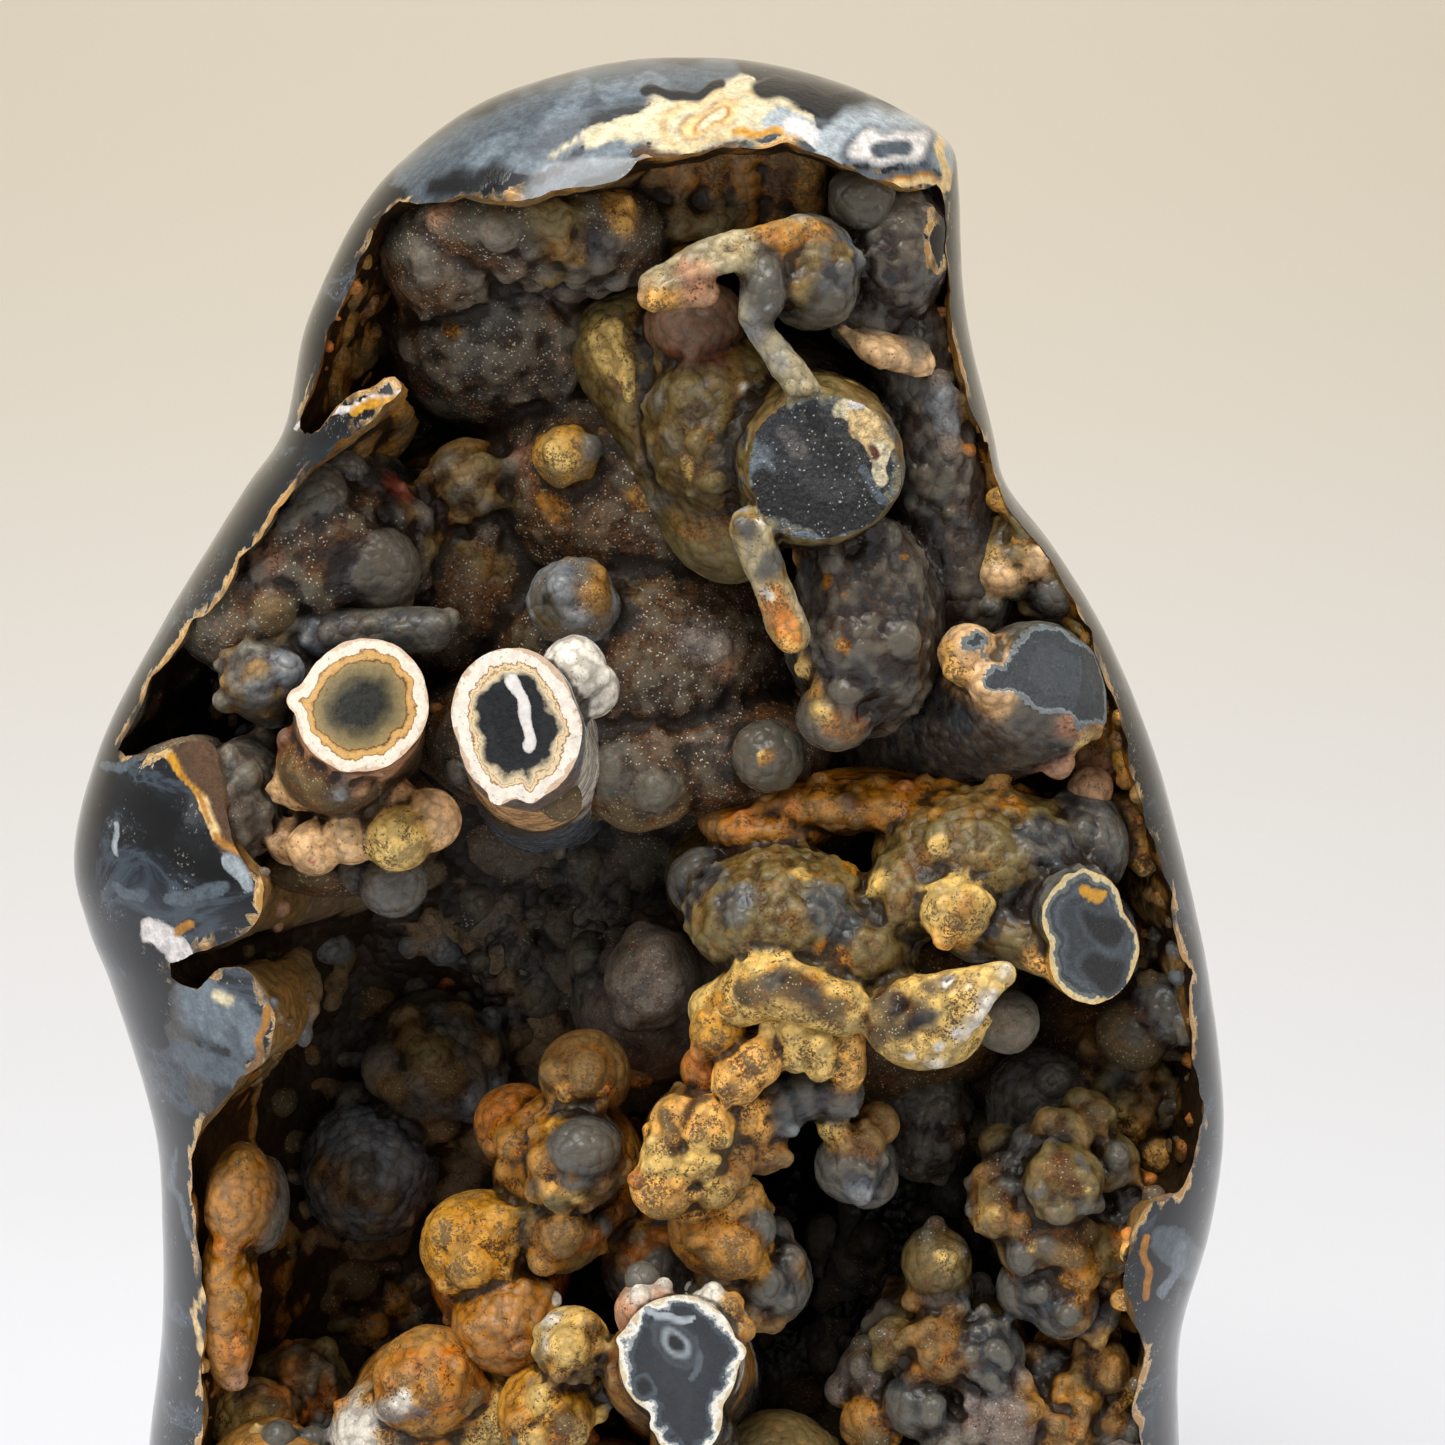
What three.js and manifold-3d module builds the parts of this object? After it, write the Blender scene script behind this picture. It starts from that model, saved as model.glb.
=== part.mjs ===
// An agate specimen on a wooden stand, in millimetres, with +Z up.
// The stone is a polished freeform of dark chalcedony. Its front is one open cavity, lined with
// botryoidal lumps, from which stalactites grow towards the viewer. Those that reached the polished
// surface were ground flush with it. The origin is under the middle of the stand.
import * as THREE from "three";
import { mergeVertices } from "three/addons/utils/BufferGeometryUtils.js";
import Module from "manifold-3d";

const wasm = await Module();
wasm.setup();

// The view from which places on the front are given: `at` is a dot in a square picture of the front,
// and `y` is the depth of that place, where 0 is the widest plane of the stone and minus is nearer.
const view = {
  side: 1445, // dots across the picture
  dot: 0.16, // millimetres a dot covers at the aim
  distance: 420,
  pitch: THREE.MathUtils.degToRad(10), // looking down by this much
  aimX: 10.8,
  aimZ: 214,
};

// Stations up the stone: height, left and right edge, and half the depth there.
const stations = [
  { z: 18, left: -56, right: 55, deep: 36 },
  { z: 45, left: -72, right: 73, deep: 44.5 },
  { z: 60, left: -80, right: 82, deep: 48.5 },
  { z: 75, left: -84, right: 87, deep: 51.5 },
  { z: 91, left: -84.6, right: 86.5, deep: 53.5 },
  { z: 116, left: -81.4, right: 86.4, deep: 55 },
  { z: 134, left: -80.2, right: 90.5, deep: 55.5 },
  { z: 151, left: -80.2, right: 91.8, deep: 56 },
  { z: 175, left: -86.3, right: 88.4, deep: 56 },
  { z: 185, left: -90, right: 86, deep: 55.5 },
  { z: 195, left: -91.8, right: 83.3, deep: 55.5 },
  { z: 212, left: -87.3, right: 78.2, deep: 54.5 },
  { z: 231, left: -77, right: 70.3, deep: 53.5 },
  { z: 243, left: -69.4, right: 62.9, deep: 52.5 },
  { z: 253, left: -62.8, right: 55.3, deep: 51.5 },
  { z: 261, left: -57.1, right: 53.1, deep: 50.5 },
  { z: 276, left: -53.2, right: 48.9, deep: 48.5 },
  { z: 283, left: -50.2, right: 47.7, deep: 47 },
  { z: 291, left: -46.1, right: 47.1, deep: 45 },
  { z: 298, left: -41.3, right: 46.7, deep: 42 },
  { z: 304, left: -35, right: 45.4, deep: 37.5 },
  { z: 310, left: -26.4, right: 36.5, deep: 30 },
  { z: 314, left: -15.7, right: 26.5, deep: 21 },
  { z: 316.5, left: -5, right: 16, deep: 11 },
];
const roundness = 2.4; // exponent of the stone's cross-section: 2 is an ellipse
const stoneSides = 38; // facets round the stone
const coarseness = 1.2; // bends of the surface smaller than this are left out

// The mouth of the cavity: where the polished skin ends, clockwise as seen, from the upper left.
const mouth = [
  [445, 192], [530, 196], [610, 178], [660, 158], [740, 142], [820, 146], [862, 168], [905, 182],
  [946, 176], [950, 240], [954, 310], [968, 380], [990, 436], [1006, 486], [1052, 548], [1088, 610],
  [1112, 690], [1136, 765], [1156, 830], [1174, 900], [1188, 960], [1199, 1040], [1204, 1120],
  [1194, 1185], [1142, 1215], [1128, 1285], [1146, 1345], [1138, 1400], [1150, 1470], [1140, 1560],
  [1070, 1650], [930, 1705], [760, 1735], [590, 1735], [430, 1705], [300, 1650], [225, 1560],
  [200, 1445], [202, 1340], [194, 1240], [186, 1150], [206, 1122], [240, 1082], [272, 1050],
  [275, 1005], [238, 972], [186, 985], [168, 962], [192, 956], [250, 925], [268, 885], [240, 850],
  [222, 790], [205, 737], [150, 744], [118, 760], [160, 662], [200, 612], [248, 545], [292, 486],
  [350, 436], [402, 392], [392, 376], [345, 402], [303, 428], [310, 372], [334, 308], [364, 246],
  [396, 204],
];
// How the cavity narrows behind its mouth: depth and size against the mouth's own.
const cavityLevels = [
  { y: -85, size: 1 },
  { y: -22, size: 0.985 },
  { y: 4, size: 0.88 },
  { y: 20, size: 0.74 },
  { y: 29, size: 0.52 },
];
const cavityMiddle = [655, 830];
// Deeper pockets, as ellipsoids with their half sizes.
const pockets = [
  { at: [400, 1090], y: 16, half: [26, 18, 34] },
  { at: [795, 1230], y: 20, half: [9, 22, 22] },
  { at: [1085, 1040], y: 8, half: [14, 20, 12] },
  { at: [425, 440], y: 10, half: [7, 14, 6] },
];

// Big rounded masses that fill the cavity, as ellipsoids.
const masses = [
  { at: [512, 300], y: 12, half: [22, 28, 22] }, // dome under the top lip
  { at: [400, 320], y: 22, half: [16, 18, 26] },
  { at: [620, 480], y: 10, half: [26, 28, 22] }, // brown slope, from its top down
  { at: [480, 560], y: 12, half: [22, 24, 20] },
  { at: [640, 640], y: 8, half: [27, 30, 20] },
  { at: [580, 730], y: 5, half: [28, 26, 14] },
  { at: [725, 745], y: -2, half: [17, 20, 11] },
  { at: [330, 540], y: -8, half: [17, 22, 15] }, // behind the left blade of the rim
  { at: [262, 600], y: -12, half: [14, 18, 12] },
  { at: [350, 830], y: 2, half: [16, 32, 8] }, // shelf under the twin stalactites
  { at: [900, 245], y: -16, half: [10, 20, 12] },
  { at: [865, 628], y: -18, half: [12, 20, 16.5] }, // hangs below the largest stalactite
  { at: [690, 316], y: -24, half: [7, 12, 7] }, // red web under the arch
  { at: [870, 1000], y: 14, half: [26, 22, 18] },
  { at: [1010, 560], y: 8, half: [12, 20, 12] },
  { at: [1085, 720], y: 2, half: [9, 18, 13] },
  { at: [1110, 1080], y: 8, half: [15, 20, 22] }, // right wall
  { at: [655, 1000], y: 12, half: [14, 17, 14] }, // floor of the hollow
  { at: [390, 1150], y: 26, half: [15, 14, 15] },
  { at: [450, 1040], y: 30, half: [13, 14, 12] },
  { at: [650, 1600], y: 8, half: [72, 30, 26], detail: 3 }, // below the picture
];

// Stalactites: round, tapered, from a root to a tip. One that passes the skin is ground off there.
const stalactites = [
  { root: { at: [342, 762], y: 10, r: 13 }, tip: { at: [367, 690], y: -60, r: 8.8 } }, // left of the twins
  { root: { at: [545, 760], y: 10, r: 13.5 }, tip: { at: [514, 716], y: -60, r: 9.8 } }, // right of the twins
  { root: { at: [890, 745], y: -4, r: 12 }, tip: { at: [1030, 690], y: -44, r: 11.4 } }, // thumb
  { root: { at: [775, 440], y: 6, r: 16.5 }, tip: { at: [822, 472], y: -62, r: 11.6 } }, // largest
  { root: { at: [645, 350], y: -12, r: 9 }, tip: { at: [735, 520], y: -20, r: 9 } }, // its flank
  { root: { at: [748, 525], y: -41, r: 2.8 }, tip: { at: [791, 634], y: -38, r: 3 } }, // its finger
  { root: { at: [895, 380], y: -16, r: 10 }, tip: { at: [945, 575], y: -12, r: 8 } }, // curtain behind it
  { root: { at: [715, 900], y: 4, r: 12 }, tip: { at: [845, 955], y: -33, r: 11.5 } }, // cobbled, left
  { root: { at: [735, 985], y: -14, r: 10 }, tip: { at: [862, 1075], y: -33, r: 6.5 } },
  { root: { at: [925, 865], y: 6, r: 13 }, tip: { at: [1048, 852], y: -26, r: 12.5 } }, // cobbled, right
  { root: { at: [1025, 880], y: -12, r: 13 }, tip: { at: [1097, 945], y: -58, r: 8.6 } }, // twin-cored tip
  { root: { at: [690, 1385], y: 14, r: 14 }, tip: { at: [678, 1352], y: -64, r: 8 } }, // star-shaped tip
  { root: { at: [700, 1470], y: 0, r: 9 }, tip: { at: [688, 1415], y: -56, r: 5 } },
];

// Stems that carry bunches of lumps, out of the back of the cavity towards the viewer.
const stems = [
  { at: [700, 1140], y: -24, r: 9 }, // peach balls
  { at: [862, 1165], y: -20, r: 6 },
  { at: [570, 1170], y: -16, r: 12 }, // ochre bunches
  { at: [500, 1270], y: -14, r: 11 },
  { at: [520, 1345], y: -14, r: 9 },
  { at: [740, 1262], y: -18, r: 9 },
  { at: [1060, 1238], y: -24, r: 12 }, // right lower bunch
  { at: [945, 1365], y: -16, r: 12 },
  { at: [1085, 1410], y: -16, r: 12 },
  { at: [430, 1415], y: -20, r: 13 },
  { at: [562, 1385], y: -28, r: 8 },
  { at: [655, 1370], y: -38, r: 8 },
];
const stemRoot = 30; // depth where every stem starts
const stemSpread = 1.15; // its thickness there, against that of its end

// The smooth arch above the largest stalactite, as a chain of round knots.
const arch = [
  { at: [646, 288], y: -37, r: 2.8 },
  { at: [700, 262], y: -38, r: 3.6 },
  { at: [795, 240], y: -37, r: 5 },
  { at: [800, 296], y: -38, r: 7.2 },
  { at: [772, 325], y: -44, r: 3 },
  { at: [802, 385], y: -46, r: 3 },
];
// The sharp bridge of cut agate between two tips.
const bridge = [
  { at: [885, 1060], y: -46, r: 6 },
  { at: [935, 1012], y: -52, r: 6.4 },
  { at: [992, 984], y: -48, r: 3 },
  { at: [1050, 966], y: -44, r: 2.6 },
];

// Round lumps on the pieces above.
const lumps = [
  // On the twin stalactites and under them
  { at: [586, 682], y: -40, r: 5.4 }, { at: [296, 776], y: -40, r: 6 }, { at: [258, 662], y: -28, r: 7.5 },
  { at: [345, 838], y: -36, r: 6 }, { at: [410, 822], y: -39, r: 7 }, { at: [380, 876], y: -32, r: 6.4 },
  // On the brown slope
  { at: [565, 455], y: -18, r: 5 }, { at: [574, 602], y: -21, r: 7 }, { at: [468, 482], y: -8, r: 7 },
  { at: [762, 757], y: -22, r: 7 }, { at: [640, 775], y: -16, r: 9 },
  // Under the top lip
  { at: [500, 228], y: -12, r: 6 }, { at: [568, 240], y: -14, r: 7 }, { at: [745, 212], y: -14, r: 11 },
  { at: [858, 196], y: -34, r: 5.4 }, { at: [340, 330], y: 0, r: 8 },
  // On the thumb and below the largest stalactite
  { at: [966, 650], y: -40, r: 4.6 }, { at: [996, 686], y: -43, r: 4.6 }, { at: [830, 720], y: -32, r: 6 },
  { at: [845, 805], y: -14, r: 5.4 },
  // Right wall
  { at: [1012, 556], y: -14, r: 6 }, { at: [1054, 588], y: -14, r: 6.4 }, { at: [1128, 822], y: -20, r: 6 },
  { at: [1166, 1010], y: -14, r: 6.4 }, { at: [1040, 1100], y: -6, r: 9 },
  // Fingers and balls below the two cobbled masses
  { at: [960, 920], y: -36, r: 6.6 }, { at: [712, 1014], y: -37, r: 6 }, { at: [742, 1066], y: -37, r: 6 },
  { at: [802, 1048], y: -39, r: 6.6 }, { at: [845, 1086], y: -36, r: 6 }, { at: [666, 1120], y: -35, r: 6 },
  { at: [706, 1114], y: -36, r: 6.4 }, { at: [660, 1166], y: -38, r: 7 }, { at: [702, 1163], y: -37, r: 6.8 },
  { at: [750, 1156], y: -30, r: 7 }, { at: [858, 1166], y: -28, r: 6.8 }, { at: [928, 1112], y: 2, r: 11 },
  // Ochre bunches in the lower middle
  { at: [585, 1075], y: -20, r: 7.4 }, { at: [577, 1158], y: -27, r: 8 }, { at: [560, 1226], y: -25, r: 7.4 },
  { at: [516, 1125], y: -14, r: 8 }, { at: [452, 1238], y: -20, r: 7.4 }, { at: [505, 1240], y: -24, r: 8 },
  { at: [492, 1300], y: -22, r: 9 }, { at: [718, 1226], y: -29, r: 8 }, { at: [765, 1278], y: -26, r: 7.4 },
  { at: [655, 1262], y: -16, r: 9 },
  // Right lower bunch
  { at: [1000, 1196], y: -31, r: 7.4 }, { at: [1064, 1174], y: -35, r: 7.6 },
  { at: [1116, 1214], y: -30, r: 7.4 }, { at: [1098, 1262], y: -33, r: 7.4 },
  { at: [1036, 1244], y: -35, r: 7 }, { at: [1050, 1302], y: -36, r: 7.6 },
  // Lower edge of the picture
  { at: [936, 1270], y: -20, r: 7.6 }, { at: [925, 1342], y: -25, r: 8 }, { at: [988, 1360], y: -25, r: 8.4 },
  { at: [945, 1416], y: -28, r: 8.6 }, { at: [878, 1385], y: -16, r: 9 }, { at: [1060, 1392], y: -24, r: 8 },
  { at: [1120, 1386], y: -22, r: 8 }, { at: [430, 1380], y: -30, r: 9 }, { at: [388, 1430], y: -25, r: 9 },
  { at: [484, 1408], y: -26, r: 7.6 }, { at: [572, 1344], y: -35, r: 6 }, { at: [545, 1412], y: -34, r: 7.6 },
  { at: [646, 1312], y: -46, r: 5 }, { at: [712, 1326], y: -48, r: 5.4 }, { at: [1050, 1460], y: -26, r: 9 },
  // Left wall
  { at: [241, 1212], y: -12, r: 7 }, { at: [252, 1420], y: -14, r: 7 }, { at: [300, 1395], y: -2, r: 9 },
  { at: [652, 978], y: -7, r: 8 }, { at: [230, 800], y: -26, r: 8.4 },
];

// Below the picture the lumps go on in rows, as far as the lower end of the mouth.
const lowerRows = [
  { row: 1505, from: 270, to: 1110, count: 6, y: -22, r: 12.5 },
  { row: 1590, from: 340, to: 1050, count: 5, y: -24, r: 13 },
  { row: 1665, from: 440, to: 960, count: 4, y: -22, r: 12 },
];
const lowerSway = { dots: 14, depth: 5 }; // how far a lump strays from its row, up and to the front

// The stand: an oval plinth with a moulded edge, a pocket for the stone and four low feet.
const stand = {
  half: [75, 60], // half its width and depth at the foot
  roundness: 2.3,
  sides: 34,
  edge: [ // height and how far the edge is drawn in
    { z: 0, inset: 0 }, { z: 7.5, inset: 0 }, { z: 11, inset: 5.4 }, { z: 15, inset: 7.2 },
    { z: 19, inset: 5 }, { z: 20.5, inset: 3 }, { z: 26, inset: 3.6 },
  ],
  pocketFloor: 17.6,
  gap: 0.5, // round the stone in its pocket
  footLong: 30, // feet left at the four ends of the two underside channels
  channel: 4, // height of those channels
};

// A place on the picture of the front, carried back to depth y.
function place([u, v], y) {
  const { side, dot, distance, pitch, aimX, aimZ } = view;
  const across = ((u - side / 2) * dot) / distance;
  const up = ((side / 2 - v) * dot) / distance;
  const rayY = Math.cos(pitch) + up * Math.sin(pitch);
  const rayZ = up * Math.cos(pitch) - Math.sin(pitch);
  const along = (y + distance * Math.cos(pitch)) / rayY;
  return new THREE.Vector3(aimX + across * along, y, aimZ + distance * Math.sin(pitch) + rayZ * along);
}

// A closed mesh's geometry as a solid that can be joined and cut.
function solidOf(geometry) {
  const samePoint = 1e-4;
  const bare = geometry.index ? geometry.toNonIndexed() : geometry.clone();
  bare.deleteAttribute("normal");
  bare.deleteAttribute("uv");
  const merged = mergeVertices(bare, samePoint);
  return new wasm.Manifold(new wasm.Mesh({
    numProp: 3,
    vertProperties: merged.attributes.position.array,
    triVerts: new Uint32Array(merged.index.array),
  }));
}

function geometryOf(solid) {
  const { vertProperties, triVerts } = solid.getMesh();
  return new THREE.BufferGeometry()
    .setAttribute("position", new THREE.BufferAttribute(vertProperties, 3))
    .setIndex(new THREE.BufferAttribute(triVerts, 1))
    .toNonIndexed();
}

// Closes a stack of rings, each with the same number of points, into one body that faces out.
function bodyOfRings(rings) {
  const count = rings[0].length;
  const points = rings.flat();
  const faces = [];
  for (let level = 0; level + 1 < rings.length; level++) {
    for (let i = 0; i < count; i++) {
      const a = level * count + i;
      const b = level * count + ((i + 1) % count);
      faces.push([a, b, b + count], [a, b + count, a + count]);
    }
  }
  faces.push(...capOf(rings[0], 0, false));
  faces.push(...capOf(rings.at(-1), points.length - count, true));
  const volume = faces.reduce((sum, [a, b, c]) =>
    sum + points[a].dot(new THREE.Vector3().crossVectors(points[b], points[c])), 0);
  const outward = volume > 0 ? faces : faces.map(([a, b, c]) => [a, c, b]);
  return solidOf(new THREE.BufferGeometry().setFromPoints(points).setIndex(outward.flat()));
}

// Triangles over one flat ring, level or upright, wound along it or against it.
function capOf(ring, first, along) {
  const upright = ring.some((p) => p.z !== ring[0].z);
  const flat = ring.map((p) => new THREE.Vector2(p.x, upright ? p.z : p.y));
  const turnOf = (corners) => Math.sign(THREE.ShapeUtils.area(corners));
  const turn = turnOf(flat) * (along ? 1 : -1);
  return THREE.ShapeUtils.triangulateShape(flat, []).map(([a, b, c]) =>
    (turnOf([flat[a], flat[b], flat[c]]) === turn ? [a, b, c] : [a, c, b]).map((i) => i + first));
}

// One oval ring of the stone at a height, grown outwards by `grow`.
function stoneRing({ z, left, right, deep }, grow = 0) {
  const middle = (left + right) / 2;
  const half = (right - left) / 2 + grow;
  return ovalRing(middle, half, deep + grow, roundness, stoneSides, z);
}

function ovalRing(middle, halfX, halfY, power, sides, z) {
  return Array.from({ length: sides }, (_, i) => {
    const turn = (i / sides) * Math.PI * 2;
    const c = Math.cos(turn);
    const s = Math.sin(turn);
    const reach = (Math.abs(c) ** power + Math.abs(s) ** power) ** (-1 / power);
    return new THREE.Vector3(middle + halfX * c * reach, halfY * s * reach, z);
  });
}

function ellipsoid({ at, y, half, detail = 1 }) {
  const ball = new THREE.IcosahedronGeometry(1, detail);
  return solidOf(ball.scale(...half).translate(...place(at, y)));
}

// A lump has twelve faces. Its corners stand out past its radius by as much as its faces fall short.
function lump({ at, y, r }) {
  const cornerReach = 1.07;
  const ball = new THREE.DodecahedronGeometry(r * cornerReach);
  return solidOf(ball.translate(...place(at, y)));
}

// A tapered round piece between two places, with a flattened dome on each end.
function stalk(root, tip) {
  const slender = 7; // up to this radius it has fewer sides
  const sides = root.r > slender ? 10 : 6;
  const dome = { shoulder: 0.76, shoulderHeight: 0.5, height: 0.8 };
  const from = place(root.at, root.y);
  const to = place(tip.at, tip.y);
  const length = from.distanceTo(to);
  const profile = [
    [0, -root.r * dome.height],
    [root.r * dome.shoulder, -root.r * dome.shoulderHeight],
    [root.r, 0],
    [tip.r, length],
    [tip.r * dome.shoulder, length + tip.r * dome.shoulderHeight],
    [0, length + tip.r * dome.height],
  ].map(([x, y]) => new THREE.Vector2(x, y));
  const body = new THREE.LatheGeometry(profile, sides);
  const direction = to.clone().sub(from).normalize();
  const turn = new THREE.Quaternion().setFromUnitVectors(new THREE.Vector3(0, 1, 0), direction);
  return solidOf(body.applyQuaternion(turn).translate(...from));
}

function chain(knots) {
  return knots.slice(1).map((knot, i) => stalk(knots[i], knot));
}

// The polished freeform before anything is hollowed.
function makeSkin() {
  return bodyOfRings(stations.map((station) => stoneRing(station)));
}

// Everything that the open cavity takes away.
function makeCavity() {
  const [middleU, middleV] = cavityMiddle;
  const rings = cavityLevels.map(({ y, size }) =>
    mouth.map(([u, v]) => place([middleU + (u - middleU) * size, middleV + (v - middleV) * size], y)));
  return wasm.Manifold.union([bodyOfRings(rings), ...pockets.map(ellipsoid)]);
}

// Rows of lumps in the part of the cavity below the picture, each a little off its row.
function makeLowerLumps() {
  const turn = 2.4; // a lump's stray from its row turns by this angle to the next lump's
  return lowerRows.flatMap(({ row, from, to, count, y, r }) =>
    Array.from({ length: count }, (_, i) => {
      const u = from + ((to - from) * i) / (count - 1);
      const v = row + lowerSway.dots * Math.sin(i * turn + row);
      return { at: [u, v], y: y + lowerSway.depth * Math.cos(i * turn + row), r };
    }));
}

function makeAgate() {
  const skin = makeSkin();
  const growth = wasm.Manifold.union([
    ...masses.map(ellipsoid),
    ...stalactites.map(({ root, tip }) => stalk(root, tip)),
    ...stems.map((tip) => stalk({ at: tip.at, y: stemRoot, r: tip.r * stemSpread }, tip)),
    ...chain(arch),
    ...chain(bridge),
    ...[...lumps, ...makeLowerLumps()].map(lump),
  ]);
  const whole = skin.subtract(makeCavity()).add(growth.intersect(skin));
  return biggestOf(whole.asOriginal().simplify(coarseness));
}

// The stone without the crumbs and sealed bubbles that joining leaves.
function biggestOf(solid) {
  return solid.decompose().reduce((best, part) => (part.volume() > best.volume() ? part : best));
}

function makeStand() {
  const { half: [halfX, halfY], channel, footLong } = stand;
  const plinth = bodyOfRings(stand.edge.map(({ z, inset }) =>
    ovalRing(0, halfX - inset, halfY - inset, stand.roundness, stand.sides, z)));
  const [foot, next] = stations;
  const pocket = bodyOfRings([{ ...foot, z: stand.pocketFloor }, next].map((station) =>
    stoneRing(station, stand.gap)));
  const pastX = 3 * halfX;
  const pastY = 3 * halfY;
  const channels = [
    new THREE.BoxGeometry(pastX, 2 * (halfY - footLong), 2 * channel),
    new THREE.BoxGeometry(2 * (halfX - footLong), pastY, 2 * channel),
  ];
  return wasm.Manifold.difference([plinth, pocket, ...channels.map(solidOf)]);
}

const agateFinish = new THREE.MeshStandardMaterial({ color: 0x4a4a4c, roughness: 0.35, metalness: 0 });
const woodFinish = new THREE.MeshStandardMaterial({ color: 0x2c1a12, roughness: 0.45, metalness: 0 });

const specimen = new THREE.Group();
const agate = new THREE.Mesh(geometryOf(makeAgate()), agateFinish);
agate.name = "agate";
const plinth = new THREE.Mesh(geometryOf(makeStand()), woodFinish);
plinth.name = "stand";
specimen.add(agate, plinth);

export default specimen;
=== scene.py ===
import math
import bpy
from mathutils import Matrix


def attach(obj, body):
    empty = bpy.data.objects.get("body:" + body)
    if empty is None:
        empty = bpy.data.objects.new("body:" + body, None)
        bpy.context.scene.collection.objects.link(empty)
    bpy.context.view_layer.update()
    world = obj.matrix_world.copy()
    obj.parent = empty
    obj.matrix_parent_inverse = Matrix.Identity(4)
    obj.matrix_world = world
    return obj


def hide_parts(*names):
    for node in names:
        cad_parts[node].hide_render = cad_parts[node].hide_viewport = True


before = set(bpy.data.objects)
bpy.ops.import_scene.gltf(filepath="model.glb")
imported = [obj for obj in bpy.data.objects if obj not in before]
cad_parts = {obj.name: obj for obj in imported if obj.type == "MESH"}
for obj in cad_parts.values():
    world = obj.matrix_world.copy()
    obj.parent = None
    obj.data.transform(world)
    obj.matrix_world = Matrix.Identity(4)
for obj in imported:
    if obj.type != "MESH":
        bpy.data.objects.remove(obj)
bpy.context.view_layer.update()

from types import SimpleNamespace

import bpy
import numpy as np
from mathutils import Matrix, Vector, kdtree
from mathutils.bvhtree import BVHTree

bpy.ops.object.select_all(action="DESELECT")
mm = 0.001

# The view: places on the front are given as a dot in a square picture and a depth y in mm.
view = {"side": 1445, "dot": 0.16, "distance": 420, "pitch": math.radians(10), "aimX": 10.8, "aimZ": 214}
forward = Vector((0, math.cos(view["pitch"]), -math.sin(view["pitch"])))
upward = Vector((0, math.sin(view["pitch"]), math.cos(view["pitch"])))
eye = Vector((view["aimX"], 0, view["aimZ"])) * mm - forward * view["distance"] * mm

# Tones: sRGB colour, then how peppered, how drusy and how glossy the stone is there.
tones = {
    "cream": ((232, 198, 138), 0.35, 0.0, 0.5),
    "pearl": ((226, 220, 216), 0.05, 0.0, 0.9),
    "peach": ((242, 184, 112), 0.5, 0.0, 0.45),
    "orange": ((202, 114, 10), 0.55, 0.0, 0.4),
    "ochre": ((178, 120, 34), 0.6, 0.05, 0.35),
    "yellow": ((206, 148, 40), 0.6, 0.0, 0.35),
    "tan": ((134, 96, 52), 0.5, 0.1, 0.3),
    "olive": ((100, 86, 54), 0.35, 0.0, 0.5),
    "slate": ((54, 60, 67), 0.06, 0.05, 0.75),
    "bluegrey": ((108, 118, 134), 0.06, 0.05, 0.75),
    "grey": ((88, 85, 82), 0.1, 0.3, 0.5),
    "charcoal": ((40, 42, 47), 0.05, 0.15, 0.7),
    "umber": ((62, 42, 24), 0.3, 0.5, 0.2),
    "druse": ((66, 50, 34), 0.1, 1.0, 0.2),
    "dusk": ((54, 49, 43), 0.1, 1.0, 0.35),
    "clay": ((146, 120, 92), 0.15, 0.3, 0.4),
    "lavender": ((112, 102, 102), 0.1, 0.45, 0.5),
    "salmon": ((192, 140, 116), 0.2, 0.1, 0.5),
    "rust": ((98, 50, 22), 0.1, 0.1, 0.5),
    "red": ((160, 58, 36), 0.1, 0.0, 0.4),
    "black": ((15, 17, 20), 0.0, 0.1, 0.8),
    "smoke": ((50, 50, 52), 0.1, 0.1, 0.85),
    "bark": ((90, 62, 36), 0.5, 0.45, 0.2),
    "steel": ((84, 94, 102), 0.0, 0.0, 0.9),
    "frost": ((164, 174, 180), 0.0, 0.0, 0.9),
    "ivory": ((222, 208, 172), 0.0, 0.0, 0.9),
    "wax": ((230, 184, 134), 0.05, 0.0, 0.8),
    "amber": ((176, 114, 22), 0.12, 0.0, 0.6),
    "sinew": ((168, 154, 120), 0.06, 0.0, 0.9),
    "haze": ((110, 121, 130), 0.0, 0.0, 0.9),
}


def linear(colour):
    return [((c / 255 + 0.055) / 1.055) ** 2.4 if c > 10 else c / 255 / 12.92 for c in colour]


toneNames = list(tones)
toneValues = np.array([[*linear(rgb), *finish] for rgb, *finish in tones.values()])


def toneOf(name):
    return toneValues[toneNames.index(name)]


def seen(u, v, y):
    across = (u - view["side"] / 2) * view["dot"] / view["distance"]
    up = (view["side"] / 2 - v) * view["dot"] / view["distance"]
    ray = forward + upward * up + Vector((across, 0, 0))
    return eye + ray * ((y * mm - eye.y) / ray.y)


# How much one dot of the picture covers at a place, in metres.
def dotSize(place):
    return view["dot"] / view["distance"] * (Vector(place) - eye).dot(forward)


# Where places lie in the picture.
def dotsOf(points):
    away = points - np.array(eye)
    depth = away @ np.array(forward)
    scale = view["distance"] / view["dot"]
    u = view["side"] / 2 + away[:, 0] / depth * scale
    v = view["side"] / 2 - away @ np.array(upward) / depth * scale
    return u, v


def activate(obj):
    bpy.ops.object.select_all(action="DESELECT")
    obj.select_set(True)
    bpy.context.view_layer.objects.active = obj


def valuesOf(items, name, width, kind=np.float32):
    values = np.empty(len(items) * width, kind)
    items.foreach_get(name, values)
    return values.reshape(-1, width) if width > 1 else values


def setPlaces(mesh, co):
    mesh.vertices.foreach_set("co", np.ascontiguousarray(co, np.float32).ravel())
    mesh.update()


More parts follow.
